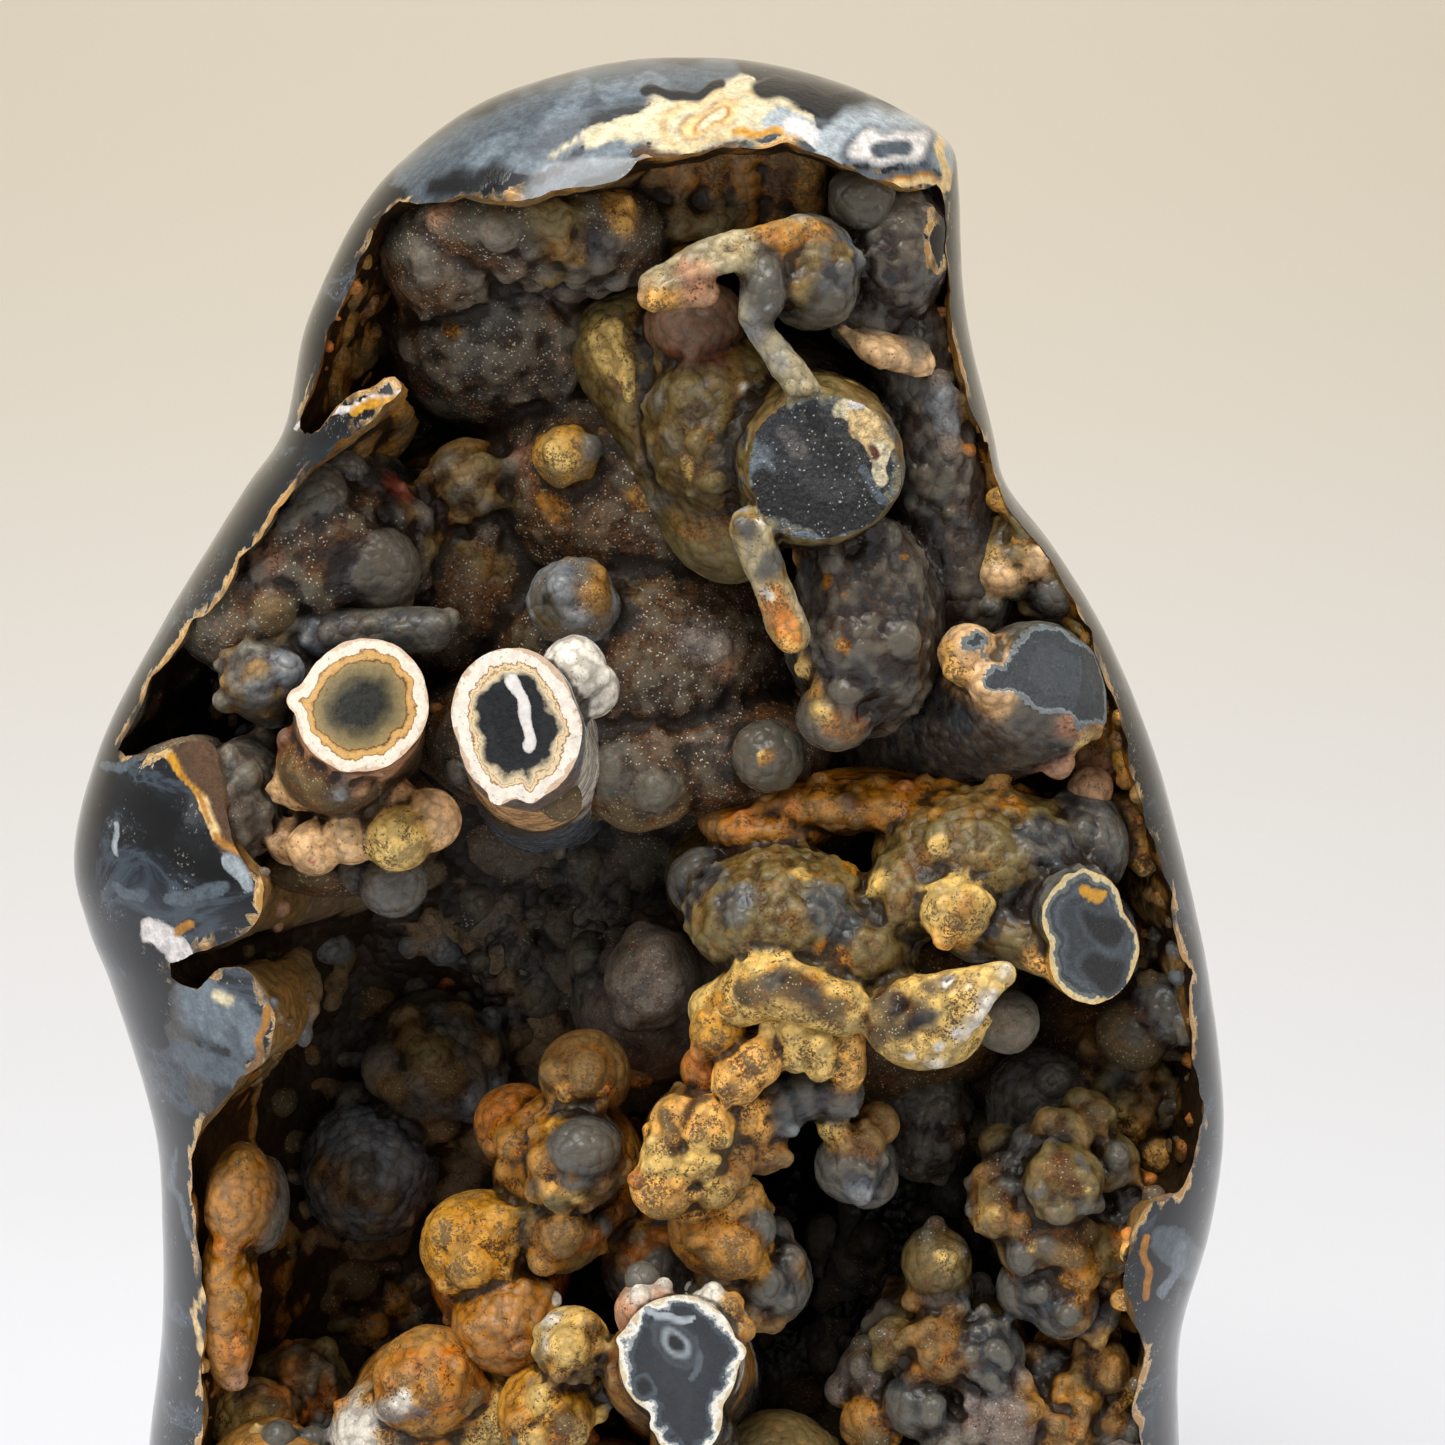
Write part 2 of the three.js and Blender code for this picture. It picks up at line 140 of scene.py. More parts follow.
def applyModifier(obj, kind, **settings):
    activate(obj)
    modifier = obj.modifiers.new(kind.lower(), kind)
    for key, value in settings.items():
        setattr(modifier, key, value)
    bpy.ops.object.modifier_apply(modifier=modifier.name)


def joined(objects, name):
    for obj in objects:
        if not obj.users_collection:
            bpy.context.collection.objects.link(obj)
    activate(objects[0])
    for obj in objects:
        obj.select_set(True)
    if len(objects) > 1:
        bpy.ops.object.join()
    objects[0].name = name
    return objects[0]


def remove(obj):
    bpy.data.objects.remove(obj, do_unlink=True)


def duplicate(obj, name, linked=True):
    twin = obj.copy()
    twin.data = obj.data.copy()
    twin.name = name
    if linked:
        bpy.context.collection.objects.link(twin)
    return twin


# A ball of size 1 in three finenesses, to be copied.
def makeSeeds():
    balls = {}
    for name, detail in (("smallBall", 2), ("ball", 3), ("bigBall", 4)):
        bpy.ops.mesh.primitive_ico_sphere_add(subdivisions=detail, radius=1)
        balls[name] = bpy.context.object
    return balls


seeds = makeSeeds()
ballSizes = {"big": 11, "small": 3}  # mm: from here on finer, up to here coarser


def ballAt(centre, half):
    longest = max(half) / mm
    smaller = "ball" if longest > ballSizes["small"] else "smallBall"
    kind = "bigBall" if longest > ballSizes["big"] else smaller
    ball = duplicate(seeds[kind], "lump", linked=False)  # joined() brings it into the scene
    ball.data.transform(Matrix.Translation(centre) @ Matrix.Diagonal((*half, 1)))
    return ball


# A tapered round piece between two places, closed with a ball at each end.
def stalkOf(start, startRadius, end, endRadius):
    axis = end - start
    bpy.ops.mesh.primitive_cone_add(vertices=40, radius1=startRadius, radius2=endRadius, depth=axis.length)
    cone = bpy.context.object
    turn = axis.to_track_quat("Z", "Y").to_matrix().to_4x4()
    cone.data.transform(Matrix.Translation((start + end) / 2) @ turn)
    return [cone, ballAt(start, (startRadius,) * 3), ballAt(end, (endRadius,) * 3)]


# A smooth curve through points, cut into even steps.
def smoothLine(points, count, closed=False):
    p = np.array(points, float)
    if closed:
        p = np.vstack([p[-2:], p, p[:2]])
    else:
        p = np.vstack([2 * p[0] - p[1], p, 2 * p[-1] - p[-2]])
    chord = np.concatenate([[0], np.cumsum(np.linalg.norm(np.diff(p, axis=0), axis=1) ** 0.5)])
    first, last = (2, len(p) - 2) if closed else (1, len(p) - 2)
    line = []
    for i in range(first, last):
        t = np.linspace(chord[i], chord[i + 1], 24, endpoint=False)[:, None]
        t0, t1, t2, t3 = chord[i - 1:i + 3]
        a1 = (t1 - t) / (t1 - t0) * p[i - 1] + (t - t0) / (t1 - t0) * p[i]
        a2 = (t2 - t) / (t2 - t1) * p[i] + (t - t1) / (t2 - t1) * p[i + 1]
        a3 = (t3 - t) / (t3 - t2) * p[i + 1] + (t - t2) / (t3 - t2) * p[i + 2]
        b1 = (t2 - t) / (t2 - t0) * a1 + (t - t0) / (t2 - t0) * a2
        b2 = (t3 - t) / (t3 - t1) * a2 + (t - t1) / (t3 - t1) * a3
        line.append((t2 - t) / (t2 - t1) * b1 + (t - t1) / (t2 - t1) * b2)
    line = np.vstack(line + [p[last:last + 1]])
    step = np.concatenate([[0], np.cumsum(np.linalg.norm(np.diff(line, axis=0), axis=1))])
    at = np.linspace(0, step[-1], count, endpoint=not closed)
    return np.stack([np.interp(at, step, line[:, k]) for k in range(p.shape[1])], axis=1)


# The polished outside of the stone: height, left and right edge and half the depth there, in mm.
skinPlan = {
    "stations": [
        (18, -56, 55, 36), (45, -72, 73, 44.5), (60, -80, 82, 48.5), (75, -84, 87, 51.5),
        (91, -84.6, 86.5, 53.5), (116, -81.4, 86.4, 55), (134, -80.2, 90.5, 55.5), (151, -80.2, 91.8, 56),
        (175, -86.3, 88.4, 56), (185, -90, 86, 55.5), (195, -91.8, 83.3, 55.5), (212, -87.3, 78.2, 54.5),
        (231, -77, 70.3, 53.5), (243, -69.4, 62.9, 52.5), (253, -62.8, 55.3, 51.5), (261, -57.1, 53.1, 50.5),
        (276, -53.2, 48.9, 48.5), (283, -50.2, 47.7, 47), (291, -46.1, 47.1, 45), (298, -41.3, 46.7, 42),
        (304, -35, 45.4, 37.5), (310, -26.4, 36.5, 30), (314, -15.7, 26.5, 21), (316.5, -5, 16, 11),
        (317.3, 5.5, 5.5, 0),
    ],
    "roundness": 2.4,
    "segments": 140,  # both are doubled
    "rings": 116,
    "footShare": 0.05,  # share of the rings that lie in the flat foot
    "frontDensity": 0.45,
    "sway": ((0.28, 2, 23, 0), (0.18, 3, -17, 1), (0.12, 5, 11, 2)),  # mm, turns, height in mm, phase
}


def makeSkin(plan):
    bpy.ops.mesh.primitive_uv_sphere_add(segments=plan["segments"], ring_count=plan["rings"], radius=1)
    body = bpy.context.object
    body.name = "skin"
    applyModifier(body, "SUBSURF", subdivision_type="SIMPLE", levels=1, render_levels=1)
    co = valuesOf(body.data.vertices, "co", 3).astype(float)
    t = 1 - np.arccos(np.clip(co[:, 2], -1, 1)) / math.pi
    turn = np.arctan2(co[:, 1], co[:, 0]) + math.pi / 2
    turn = (turn + math.pi) % (2 * math.pi) - math.pi
    turn = turn - plan["frontDensity"] * np.sin(turn) - math.pi / 2
    profile = smoothLine(plan["stations"], 600)
    foot = plan["footShare"]
    side = np.clip((t - foot) / (1 - foot), 0, 1) * (len(profile) - 1)
    z, left, right, deep = (np.interp(side, np.arange(len(profile)), profile[:, k]) for k in range(4))
    inFoot = np.clip(t / foot, 0, 1)
    c, s = np.cos(turn), np.sin(turn)
    power = plan["roundness"]
    reach = (np.abs(c) ** power + np.abs(s) ** power) ** (-1 / power) * inFoot
    sway = sum(a * np.sin(n * turn + z / h + phase) for a, n, h, phase in plan["sway"])
    sway = sway * np.clip((deep - 4) / 20, 0, 1)
    x = (left + right) / 2 + ((right - left) / 2 + sway) * c * reach
    y = (np.maximum(deep, 0) + sway) * s * reach
    setPlaces(body.data, np.stack([x, y, np.maximum(z, plan["stations"][0][0])], axis=1) * mm)
    return body


# A copy of the skin drawn in a little, so that no two pieces have their cut faces in one place.
def drawnIn(depth):
    inner = duplicate(skin, "innerSkin")
    co = valuesOf(inner.data.vertices, "co", 3)
    setPlaces(inner.data, co - valuesOf(inner.data.vertex_normals, "vector", 3) * depth * mm)
    return inner


skin = makeSkin(skinPlan)
rough = bpy.data.materials.new("roughStone")
polished = bpy.data.materials.new("polishedSkin")
skin.data.materials.append(polished)
print("skin", len(skin.data.vertices))

# The cavity: outline of its mouth as seen, and how it narrows behind.
hollowPlan = {
    "mouth": [
        (445, 192), (530, 196), (610, 178), (660, 158), (740, 142), (820, 146), (862, 168), (905, 182),
        (946, 176), (950, 240), (954, 310), (968, 380), (990, 436), (1006, 486), (1052, 548), (1088, 610),
        (1112, 690), (1136, 765), (1156, 830), (1174, 900), (1188, 960), (1199, 1040), (1204, 1120),
        (1194, 1185), (1142, 1215), (1128, 1285), (1146, 1345), (1138, 1400), (1150, 1470), (1140, 1560),
        (1070, 1650), (930, 1705), (760, 1735), (590, 1735), (430, 1705), (300, 1650), (225, 1560),
        (200, 1445), (202, 1340), (194, 1240), (186, 1150), (206, 1122), (240, 1082), (272, 1050),
        (275, 1005), (238, 972), (186, 985), (168, 962), (192, 956), (250, 925), (268, 885), (240, 850),
        (222, 790), (205, 737), (150, 744), (118, 760), (160, 662), (200, 612), (248, 545), (292, 486),
        (350, 436), (402, 392), (392, 376), (345, 402), (303, 428), (310, 372), (334, 308), (364, 246),
        (396, 204),
    ],
    "levels": [(-85, 1), (-50, 1), (-22, 0.985), (4, 0.88), (20, 0.74), (29, 0.52)],  # depth y, size
    "middle": (655, 830),
    "points": 480,
    "ragged": 1.4,  # dots
    "pockets": [
        (400, 1090, 16, (26, 18, 34)), (795, 1230, 20, (9, 22, 22)), (1085, 1040, 8, (14, 20, 12)),
        (425, 440, 10, (7, 14, 6)),
    ],
    "voxel": 1.15,
    "cobble": ((9, 2.4), (4, 0.8)),
}


def patternOf(name, size):
    texture = bpy.data.textures.new(name, "VORONOI")
    texture.noise_scale = size * mm
    texture.distance_metric = "DISTANCE_SQUARED"
    return texture


cells = {size: patternOf(f"cells{size}", size) for size in (2, 4, 9)}  # cell size in mm
swell = bpy.data.textures.new("swell", "CLOUDS")
swell.noise_scale = 9 * mm
swell.noise_depth = 3


def displaced(obj, texture, strength, middle=0.25):
    applyModifier(obj, "DISPLACE", texture=texture, texture_coords="LOCAL",
                  strength=strength * mm, mid_level=middle)


def faceOutwards(obj):
    activate(obj)
    bpy.ops.object.mode_set(mode="EDIT")
    bpy.ops.mesh.select_all(action="SELECT")
    bpy.ops.mesh.normals_make_consistent(inside=False)
    bpy.ops.object.mode_set(mode="OBJECT")


# A flat round face drawn out into a stack of rings, one unit apart.
def stackOf(count, rings, name):
    bpy.ops.mesh.primitive_circle_add(vertices=count, radius=1, fill_type="NGON")
    body = bpy.context.object
    body.name = name
    bpy.ops.object.mode_set(mode="EDIT")
    bpy.ops.mesh.select_all(action="SELECT")
    for _ in range(rings - 1):
        bpy.ops.mesh.extrude_region_move(TRANSFORM_OT_translate={"value": (0, 0, 1)})
    bpy.ops.object.mode_set(mode="OBJECT")
    return body


def makeHollow(plan):
    count = plan["points"]
    body = stackOf(count, len(plan["levels"]), "hollow")
    co = valuesOf(body.data.vertices, "co", 3).astype(float)
    level = np.rint(co[:, 2]).astype(int)
    step = np.rint(np.arctan2(co[:, 1], co[:, 0]) / (2 * math.pi) * count).astype(int) % count
    outline = smoothLine(plan["mouth"], count, closed=True)
    ragged = np.random.default_rng(4).normal(0, 1, (count, 2))
    ragged = sum(np.roll(ragged, k, axis=0) for k in range(-2, 3)) / 5 ** 0.5 * plan["ragged"]
    middle = np.array(plan["middle"])
    for i in range(len(co)):
        y, size = plan["levels"][level[i]]
        u, v = middle + (outline[step[i]] - middle) * size + ragged[step[i]]
        co[i] = seen(u, v, y)
    setPlaces(body.data, co)
    balls = [ballAt(seen(u, v, y), [h * mm for h in half]) for u, v, y, half in plan["pockets"]]
    body = joined([body, *balls], "hollow")
    faceOutwards(body)
    applyModifier(body, "REMESH", mode="VOXEL", voxel_size=plan["voxel"] * mm)
    applyModifier(body, "SMOOTH", factor=0.5, iterations=1)
    for size, depth in plan["cobble"]:
        displaced(body, cells[size], depth)
    body.data.materials.clear()
    body.data.materials.append(rough)
    return body


hollow = makeHollow(hollowPlan)
wall = duplicate(skin, "wall")
applyModifier(wall, "BOOLEAN", operation="DIFFERENCE", solver="MANIFOLD", object=hollow,
              material_mode="TRANSFER")
print("wall", len(wall.data.polygons))

# The growths in the cavity. Masses are (u, v, y, half sizes, tone), stalks (root, tip, tone) with
# (u, v, y, r) for each end, balls (u, v, y, r, tone). Lumps and paint are (u, v, r in dots) by tone, and
# lie on what is seen there. Scatter is (u, v, half width, half height, count, least r, most r, tones).
# Facets are (middle, way they face, how far out, reach), cuts (u, v, r in dots, style). Cobble is (cell
# size, depth). Voxel, inset and swell are in mm, and sink is a share of a lump's radius.
growths = [
    {
        "name": "brownSlope", "voxel": 0.8, "inset": 0.05, "swell": 2.2, "cobble": ((4, 0.5), (2, 0.3)),
        "masses": [
            (512, 312, 10, (22, 28, 20), "dusk"), (400, 320, 22, (16, 18, 26), "dusk"),
            (530, 226, -14, (19, 20, 8.6), "dusk"), (452, 252, -8, (11, 20, 11), "dusk"),
            (600, 232, -12, (11, 18, 9), "dusk"),
            (620, 480, 10, (26, 28, 22), "druse"), (480, 560, 12, (22, 24, 20), "druse"),
            (640, 640, 8, (27, 30, 20), "druse"), (580, 730, 5, (28, 26, 14), "druse"),
            (725, 745, -2, (17, 20, 11), "druse"), (330, 540, -8, (17, 22, 15), "charcoal"),
            (262, 600, -12, (14, 18, 12), "dusk"),
        ],
        "stalks": [
            ((652, 166, -20, 3), (640, 226, -12, 2.6), "tan"),
            ((684, 158, -20, 3.4), (678, 236, -13, 3), "amber"),
            ((716, 152, -20, 3.2), (710, 240, -14, 2.6), "ochre"),
            ((746, 150, -20, 3.4), (742, 232, -14, 3), "amber"),
            ((778, 150, -20, 3.2), (776, 226, -14, 2.8), "tan"),
            ((808, 152, -22, 3.2), (808, 220, -16, 2.6), "ochre"),
        ],
        "balls": [
            (565, 455, -18, 5, "yellow"), (574, 602, -21, 7, "bluegrey"), (468, 482, -8, 7, "tan"),
            (766, 757, -22, 5.6, "smoke"), (640, 775, -16, 9, "umber"), (500, 228, -12, 6, "grey"),
            (568, 240, -14, 7, "olive"), (861, 198, -27, 5, "black"),
            (340, 330, 0, 8, "ochre"),
        ],
        "lumps": {
            "grey": [(426, 258, 16), (428, 274, 13), (499, 232, 24), (570, 286, 20), (473, 273, 15),
                     (453, 268, 10), (414, 349, 16), (529, 253, 12), (449, 464, 16), (512, 464, 14),
                     (419, 480, 14), (610, 770, 24), (655, 790, 22), (536, 300, 13), (505, 272, 12)],
            "salmon": [(441, 217, 10), (518, 459, 6), (275, 562, 14), (722, 656, 12)],
            "olive": [(555, 221, 24), (549, 271, 15), (679, 219, 26), (712, 222, 22), (481, 464, 16),
                      (481, 500, 18), (566, 300, 14)],
            "ochre": [(564, 246, 20), (251, 545, 9), (600, 575, 11), (592, 596, 15)],
            "peach": [(620, 203, 15), (621, 222, 12)],
            "dusk": [(547, 388, 16), (690, 742, 14)],
            "slate": [(588, 448, 16), (300, 520, 26)],
            "cream": [(614, 329, 15), (617, 346, 12), (627, 362, 12), (629, 377, 14), (631, 394, 10),
                      (552, 450, 14), (563, 462, 12)],
            "lavender": [(464, 481, 18), (488, 532, 18), (716, 650, 16), (692, 640, 12)],
            "red": [(399, 488, 9)],
            "charcoal": [(375, 566, 42), (319, 501, 34), (267, 575, 26), (345, 470, 22), (420, 520, 20)],
            "umber": [(382, 597, 34), (560, 800, 22), (273, 608, 24)],
            "tan": [(251, 560, 16)],
            "bluegrey": [(560, 590, 20), (576, 618, 18)],
        },
        "paint": {
            "ochre": [(660, 440, 16), (610, 400, 14), (640, 500, 12), (550, 500, 16), (768, 752, 9),
                      (452, 330, 10), (575, 262, 10)],
            "olive": [(620, 590, 26), (500, 560, 22), (540, 610, 16)],
            "charcoal": [(600, 240, 20), (600, 280, 16), (545, 600, 18)],
            "lavender": [(716, 650, 14)], "cream": [(764, 748, 5)],
        },
        "scatter": [
            (520, 330, 105, 70, 120, 5, 12, ("grey", "dusk", "dusk")),
            (560, 300, 70, 60, 26, 8, 15, ("grey", "slate")),
            (345, 560, 95, 62, 80, 7, 15, ("charcoal", "umber", "dusk", "dusk")),
            (600, 560, 110, 110, 150, 3, 7, ("druse",)),
            (640, 720, 110, 60, 90, 4, 10, ("druse", "dusk")),
            (450, 510, 50, 45, 30, 6, 12, ("olive", "tan", "lavender")),
        ],
    },
    {
        "name": "twinTips", "voxel": 0.55, "inset": 0.08, "swell": 1.0, "cobble": ((2, 0.1),),
        "masses": [
            (350, 830, 2, (16, 32, 8), "umber"), (345, 758, -29, (10, 18, 8), "bark"),
            (274, 668, -18, (8, 16, 8.4), "grey"), (366, 806, -22, (11, 16, 6), "umber"),
            (246, 796, -24, (7, 16, 9), "grey"),
        ],
        "stalks": [
            ((350, 775, 8, 11), (366, 690, -60, 8.7), "salmon"),
            ((548, 770, 8, 11.5), (507, 703, -60, 8.3), "pearl"),
            ((545, 785, 8, 11.5), (517, 728, -60, 8.5), "bluegrey"),
            ((262, 634, -22, 4), (430, 630, -28, 3.4), "slate"),
        ],
        "balls": [
            (574, 668, -42, 4.8, "pearl"), (590, 690, -38, 4.4, "pearl"), (300, 784, -36, 4.2, "wax"),
            (314, 848, -37, 4.2, "wax"), (350, 836, -38, 4.2, "wax"), (386, 806, -35, 5, "wax"),
            (398, 838, -39, 5, "cream"), (430, 820, -36, 4.8, "wax"), (393, 884, -33, 5.2, "slate"),
            (364, 872, -31, 4, "slate"), (292, 842, -32, 3.6, "wax"), (340, 770, -34, 5, "salmon"),
        ],
        "lumps": {
            "pearl": [(600, 676, 12)],
            "tan": [(433, 684, 11), (260, 673, 14)],
            "orange": [(436, 708, 9)],
            "bluegrey": [(342, 791, 12), (286, 671, 20), (262, 681, 12), (308, 638, 10), (300, 700, 14)],
            "salmon": [(361, 786, 13), (280, 906, 12), (277, 925, 9)],
            "slate": [(330, 634, 12), (400, 630, 10), (440, 626, 14)],
            "grey": [(258, 621, 12), (290, 623, 11), (370, 622, 10), (449, 619, 13), (247, 651, 11),
                     (219, 684, 15), (229, 700, 18), (248, 777, 20), (230, 760, 16), (262, 740, 16),
                     (460, 770, 14), (262, 810, 16), (240, 836, 14)],
            "olive": [(282, 638, 13)],
            "lavender": [(259, 858, 14), (248, 898, 13), (500, 796, 12), (530, 795, 10), (345, 776, 10)],
            "rust": [(288, 740, 13), (350, 765, 10)],
        },
        "scatter": [
            (250, 690, 40, 50, 44, 4, 9, ("host", "tan", "bluegrey")),
            (248, 820, 34, 60, 44, 4, 9, ("host", "host", "lavender")),
            (345, 765, 60, 30, 40, 3, 6, ("host",)),
        ],
        "paint": {
            "red": [(352, 838, 5), (320, 852, 4)], "orange": [(304, 852, 7), (292, 788, 9)],
            "bark": [(345, 752, 16), (390, 762, 14), (410, 748, 10), (330, 735, 12)],
            "tan": [(500, 786, 14)], "pearl": [(470, 780, 18)],
        },
        "cuts": [(366, 690, 90, "twinLeft"), (512, 714, 100, "twinRight")],
    },
    {
        "name": "largeTip", "voxel": 0.7, "inset": 0.11, "swell": 2.0, "cobble": ((2, 0.16),),
        "masses": [
            (890, 250, -17, (9, 13, 11), "charcoal"), (865, 628, -16, (12.4, 20, 17), "smoke"),
            (694, 324, -21, (7.6, 10, 6.6), "rust"), (812, 274, -31, (7.4, 8, 8.2), "smoke"),
            (716, 425, -20, (11, 14, 14), "olive"), (640, 380, -4, (9, 12, 9), "olive"),
            (764, 288, -38, (3.4, 4.4, 5.6), "charcoal"),
        ],
        "stalks": [
            ((775, 440, 6, 16.5), (820, 464, -34, 12.1), "olive"),
            ((628, 345, -10, 9), (728, 520, -18, 9.6), "olive"),
            ((748, 525, -39, 2.8), (791, 634, -37, 3), "sinew"),
            ((905, 330, -15, 7), (958, 600, -10, 9), "smoke"),
            ((914, 204, -16, 5.4), (866, 316, -20, 6), "charcoal"),
            ((650, 296, -38, 2.2), (706, 292, -38, 2.5), "salmon"),
            ((648, 281, -37, 1.7), (722, 248, -38, 2.1), "sinew"),
            ((722, 248, -38, 2.1), (800, 230, -35, 2.2), "sinew"),
            ((800, 230, -35, 2.2), (846, 256, -33, 2.2), "bluegrey"),
            ((656, 288, -39, 1.4), (736, 262, -41, 1.6), "sinew"),
            ((736, 262, -39, 1.6), (782, 246, -36, 2.8), "ochre"),
            ((750, 262, -39, 1.5), (748, 312, -39, 1.8), "sinew"),
            ((750, 312, -39, 2.2), (774, 350, -38, 2), "bluegrey"),
            ((774, 350, -38, 2), (806, 392, -39.5, 2.2), "sinew"),
        ],
        "balls": [
            (838, 716, -29, 5.8, "smoke"), (862, 578, -25, 10, "smoke"), (872, 662, -24, 9.8, "smoke"),
            (905, 340, -18, 5, "charcoal"),
        ],
        "lumps": {
            "cream": [(807, 669, 13), (822, 712, 9), (598, 335, 12), (606, 352, 13)],
            "peach": [(821, 688, 12), (801, 697, 12), (655, 300, 13), (790, 640, 16)],
            "orange": [(838, 724, 9), (856, 728, 8), (786, 630, 10)],
            "tan": [(799, 557, 11), (745, 524, 12)],
            "olive": [(800, 290, 14), (690, 395, 22), (668, 360, 20), (700, 440, 20), (716, 480, 16)],
            "ochre": [(790, 236, 14), (812, 232, 12)],
            "smoke": [(832, 300, 14), (842, 270, 14), (835, 560, 20), (880, 540, 22), (900, 640, 22),
                      (850, 690, 20)],
        },
        "scatter": [
            (875, 640, 62, 95, 150, 4, 8, ("host",)),
            (900, 250, 56, 70, 60, 5, 9, ("host",)),
            (940, 480, 32, 110, 60, 4, 8, ("host",)),
            (680, 430, 50, 90, 60, 4, 9, ("host", "host", "grey")),
        ],
        "paint": {
            "rust": [(690, 325, 36), (705, 350, 24)],
            "pearl": [(748, 424, 6), (745, 446, 6), (746, 468, 5), (750, 490, 6), (758, 512, 5),
                      (752, 384, 8), (770, 585, 9), (640, 292, 6)],
            "bluegrey": [(742, 480, 8), (748, 505, 7), (745, 545, 7), (705, 398, 10), (760, 400, 10)],
            "orange": [(740, 524, 7), (788, 632, 7), (815, 330, 5)],
            "cream": [(830, 372, 12), (850, 380, 10), (690, 470, 10)],
            "olive": [(840, 250, 16), (806, 256, 14)],
            "steel": [(734, 462, 8), (738, 500, 8), (748, 536, 7)],
            "ochre": [(782, 246, 9), (826, 590, 10), (850, 600, 7), (905, 560, 6), (838, 650, 8),
                      (700, 440, 8), (672, 392, 7)],
            "slate": [(764, 290, 18), (836, 276, 20), (742, 440, 16), (738, 480, 17), (744, 520, 17),
                      (770, 556, 18), (816, 566, 20), (862, 556, 18), (896, 520, 18), (902, 476, 18),
                      (892, 430, 14)],
            "black": [(766, 296, 9), (842, 300, 10), (898, 500, 9)],
            "frost": [(757, 280, 4), (762, 268, 4), (772, 300, 3)],
        },
        "cuts": [(825, 464, 100, "darkCrystal")],
        "facets": [((820, 464, -34), (0.08, -0.98, -0.02), 5.6, 13)],
    },
    {
        "name": "thumbTip", "voxel": 0.7, "inset": 0.14, "swell": 1.4, "cobble": ((2, 0.14),),
        "masses": [(1010, 560, 8, (12, 20, 12), "ochre"), (1085, 720, 2, (9, 18, 13), "ochre")],
        "stalks": [((890, 750, 6, 12), (1034, 694, -25, 11), "charcoal")],
        "balls": [
            (968, 655, -28, 4.8, "wax"), (992, 684, -32, 3.6, "wax"), (1012, 556, -14, 6, "olive"),
            (1054, 588, -12, 6, "slate"),
        ],
        "facets": [((1034, 694, -25), (0.28, -0.78, 0.56), 7.8, 17)],
        "lumps": {
            "pearl": [(1000, 678, 14)],
            "wax": [(966, 647, 13), (988, 686, 15), (1034, 560, 18), (1000, 575, 22)],
            "peach": [(955, 672, 13), (947, 650, 9)],
            "yellow": [(1021, 513, 24), (1119, 716, 11), (1119, 740, 10), (1000, 500, 16)],
            "slate": [(1054, 590, 26), (988, 606, 16), (1078, 600, 14)],
            "salmon": [(1059, 762, 20), (1095, 760, 20), (1130, 765, 14), (1090, 790, 24)],
            "olive": [(1040, 535, 14), (1110, 780, 12)],
        },
        "scatter": [(1020, 560, 40, 50, 26, 7, 12, ("olive", "cream", "slate")),
                    (1100, 750, 30, 60, 26, 6, 11, ("ochre", "salmon", "cream"))],
        "paint": {"slate": [(960, 720, 20)], "black": [(1060, 750, 18)]},
        "cuts": [(1030, 660, 110, "matteFacet")],
    },
    {
        "name": "cobbledTips", "voxel": 0.65, "inset": 0.17, "swell": 1.4, "cobble": ((2, 0.2),),
        "sink": 0.45,
        "masses": [
            (870, 1000, 14, (26, 22, 18), "umber"), (782, 915, -24, (15, 14, 10.4), "olive"),
            (862, 942, -28, (9, 10, 7), "olive"), (985, 862, -22, (17.4, 14, 11.4), "olive"),
            (1012, 916, -25, (10, 10, 8), "slate"), (908, 896, -27, (7, 9, 7.6), "olive"),
            (806, 966, -27, (13.5, 11, 5), "olive"), (924, 1020, -37, (9.6, 8, 7.2), "cream"),
            (1080, 842, -19, (7.6, 11, 9), "slate"), (800, 1000, -22, (13, 14, 6.4), "yellow"),
            (890, 798, -13, (24, 12, 4.4), "amber"), (768, 822, -12, (11, 11, 4.8), "amber"),
        ],
        "stalks": [
            ((730, 880, 10, 11), (782, 912, -18, 9.6), "olive"),
            ((950, 860, 14, 12), (985, 862, -14, 11), "olive"),
            ((716, 1010, -31, 4.4), (768, 984, -38, 4.8), "cream"),
            ((768, 984, -38, 4.8), (842, 1008, -37, 4.4), "cream"),
            ((990, 926, -34, 4.2), (1044, 952, -38, 3.4), "olive"),
            ((1050, 890, -14, 9), (1097, 930, -52, 5.4), "slate"),
            ((1078, 930, -14, 9), (1100, 968, -54, 5.9), "slate"),
            ((936, 1006, -41, 5), (1003, 974, -43, 2.2), "cream"),
            ((1006, 968, -44.5, 0.9), (978, 1016, -44.5, 1.1), "pearl"),
            ((978, 1016, -44.5, 1.1), (936, 1062, -42.5, 1), "pearl"),
        ],
        "balls": [
            (702, 882, -18, 5.6, "slate"), (956, 912, -36, 5.4, "cream"), (976, 930, -32, 5.2, "slate"),
            (846, 806, -16, 4.6, "orange"), (1128, 822, -16, 5, "tan"), (1166, 1010, -12, 6, "slate"),
            (1040, 1100, -6, 9, "slate"), (1132, 1034, -12, 6, "umber"), (1007, 1022, -26, 5, "grey"),
            (1143, 850, -16, 3.8, "ochre"),
        ],
        "lumps": {
            "peach": [(1039, 963, 11), (1143, 845, 12), (1143, 868, 11), (944, 938, 14)],
            "tan": [(1152, 892, 13), (1138, 795, 12)],
            "orange": [(1146, 933, 8), (790, 806, 12), (905, 790, 12), (742, 820, 14)],
            "bluegrey": [(1172, 910, 18), (1181, 977, 13)],
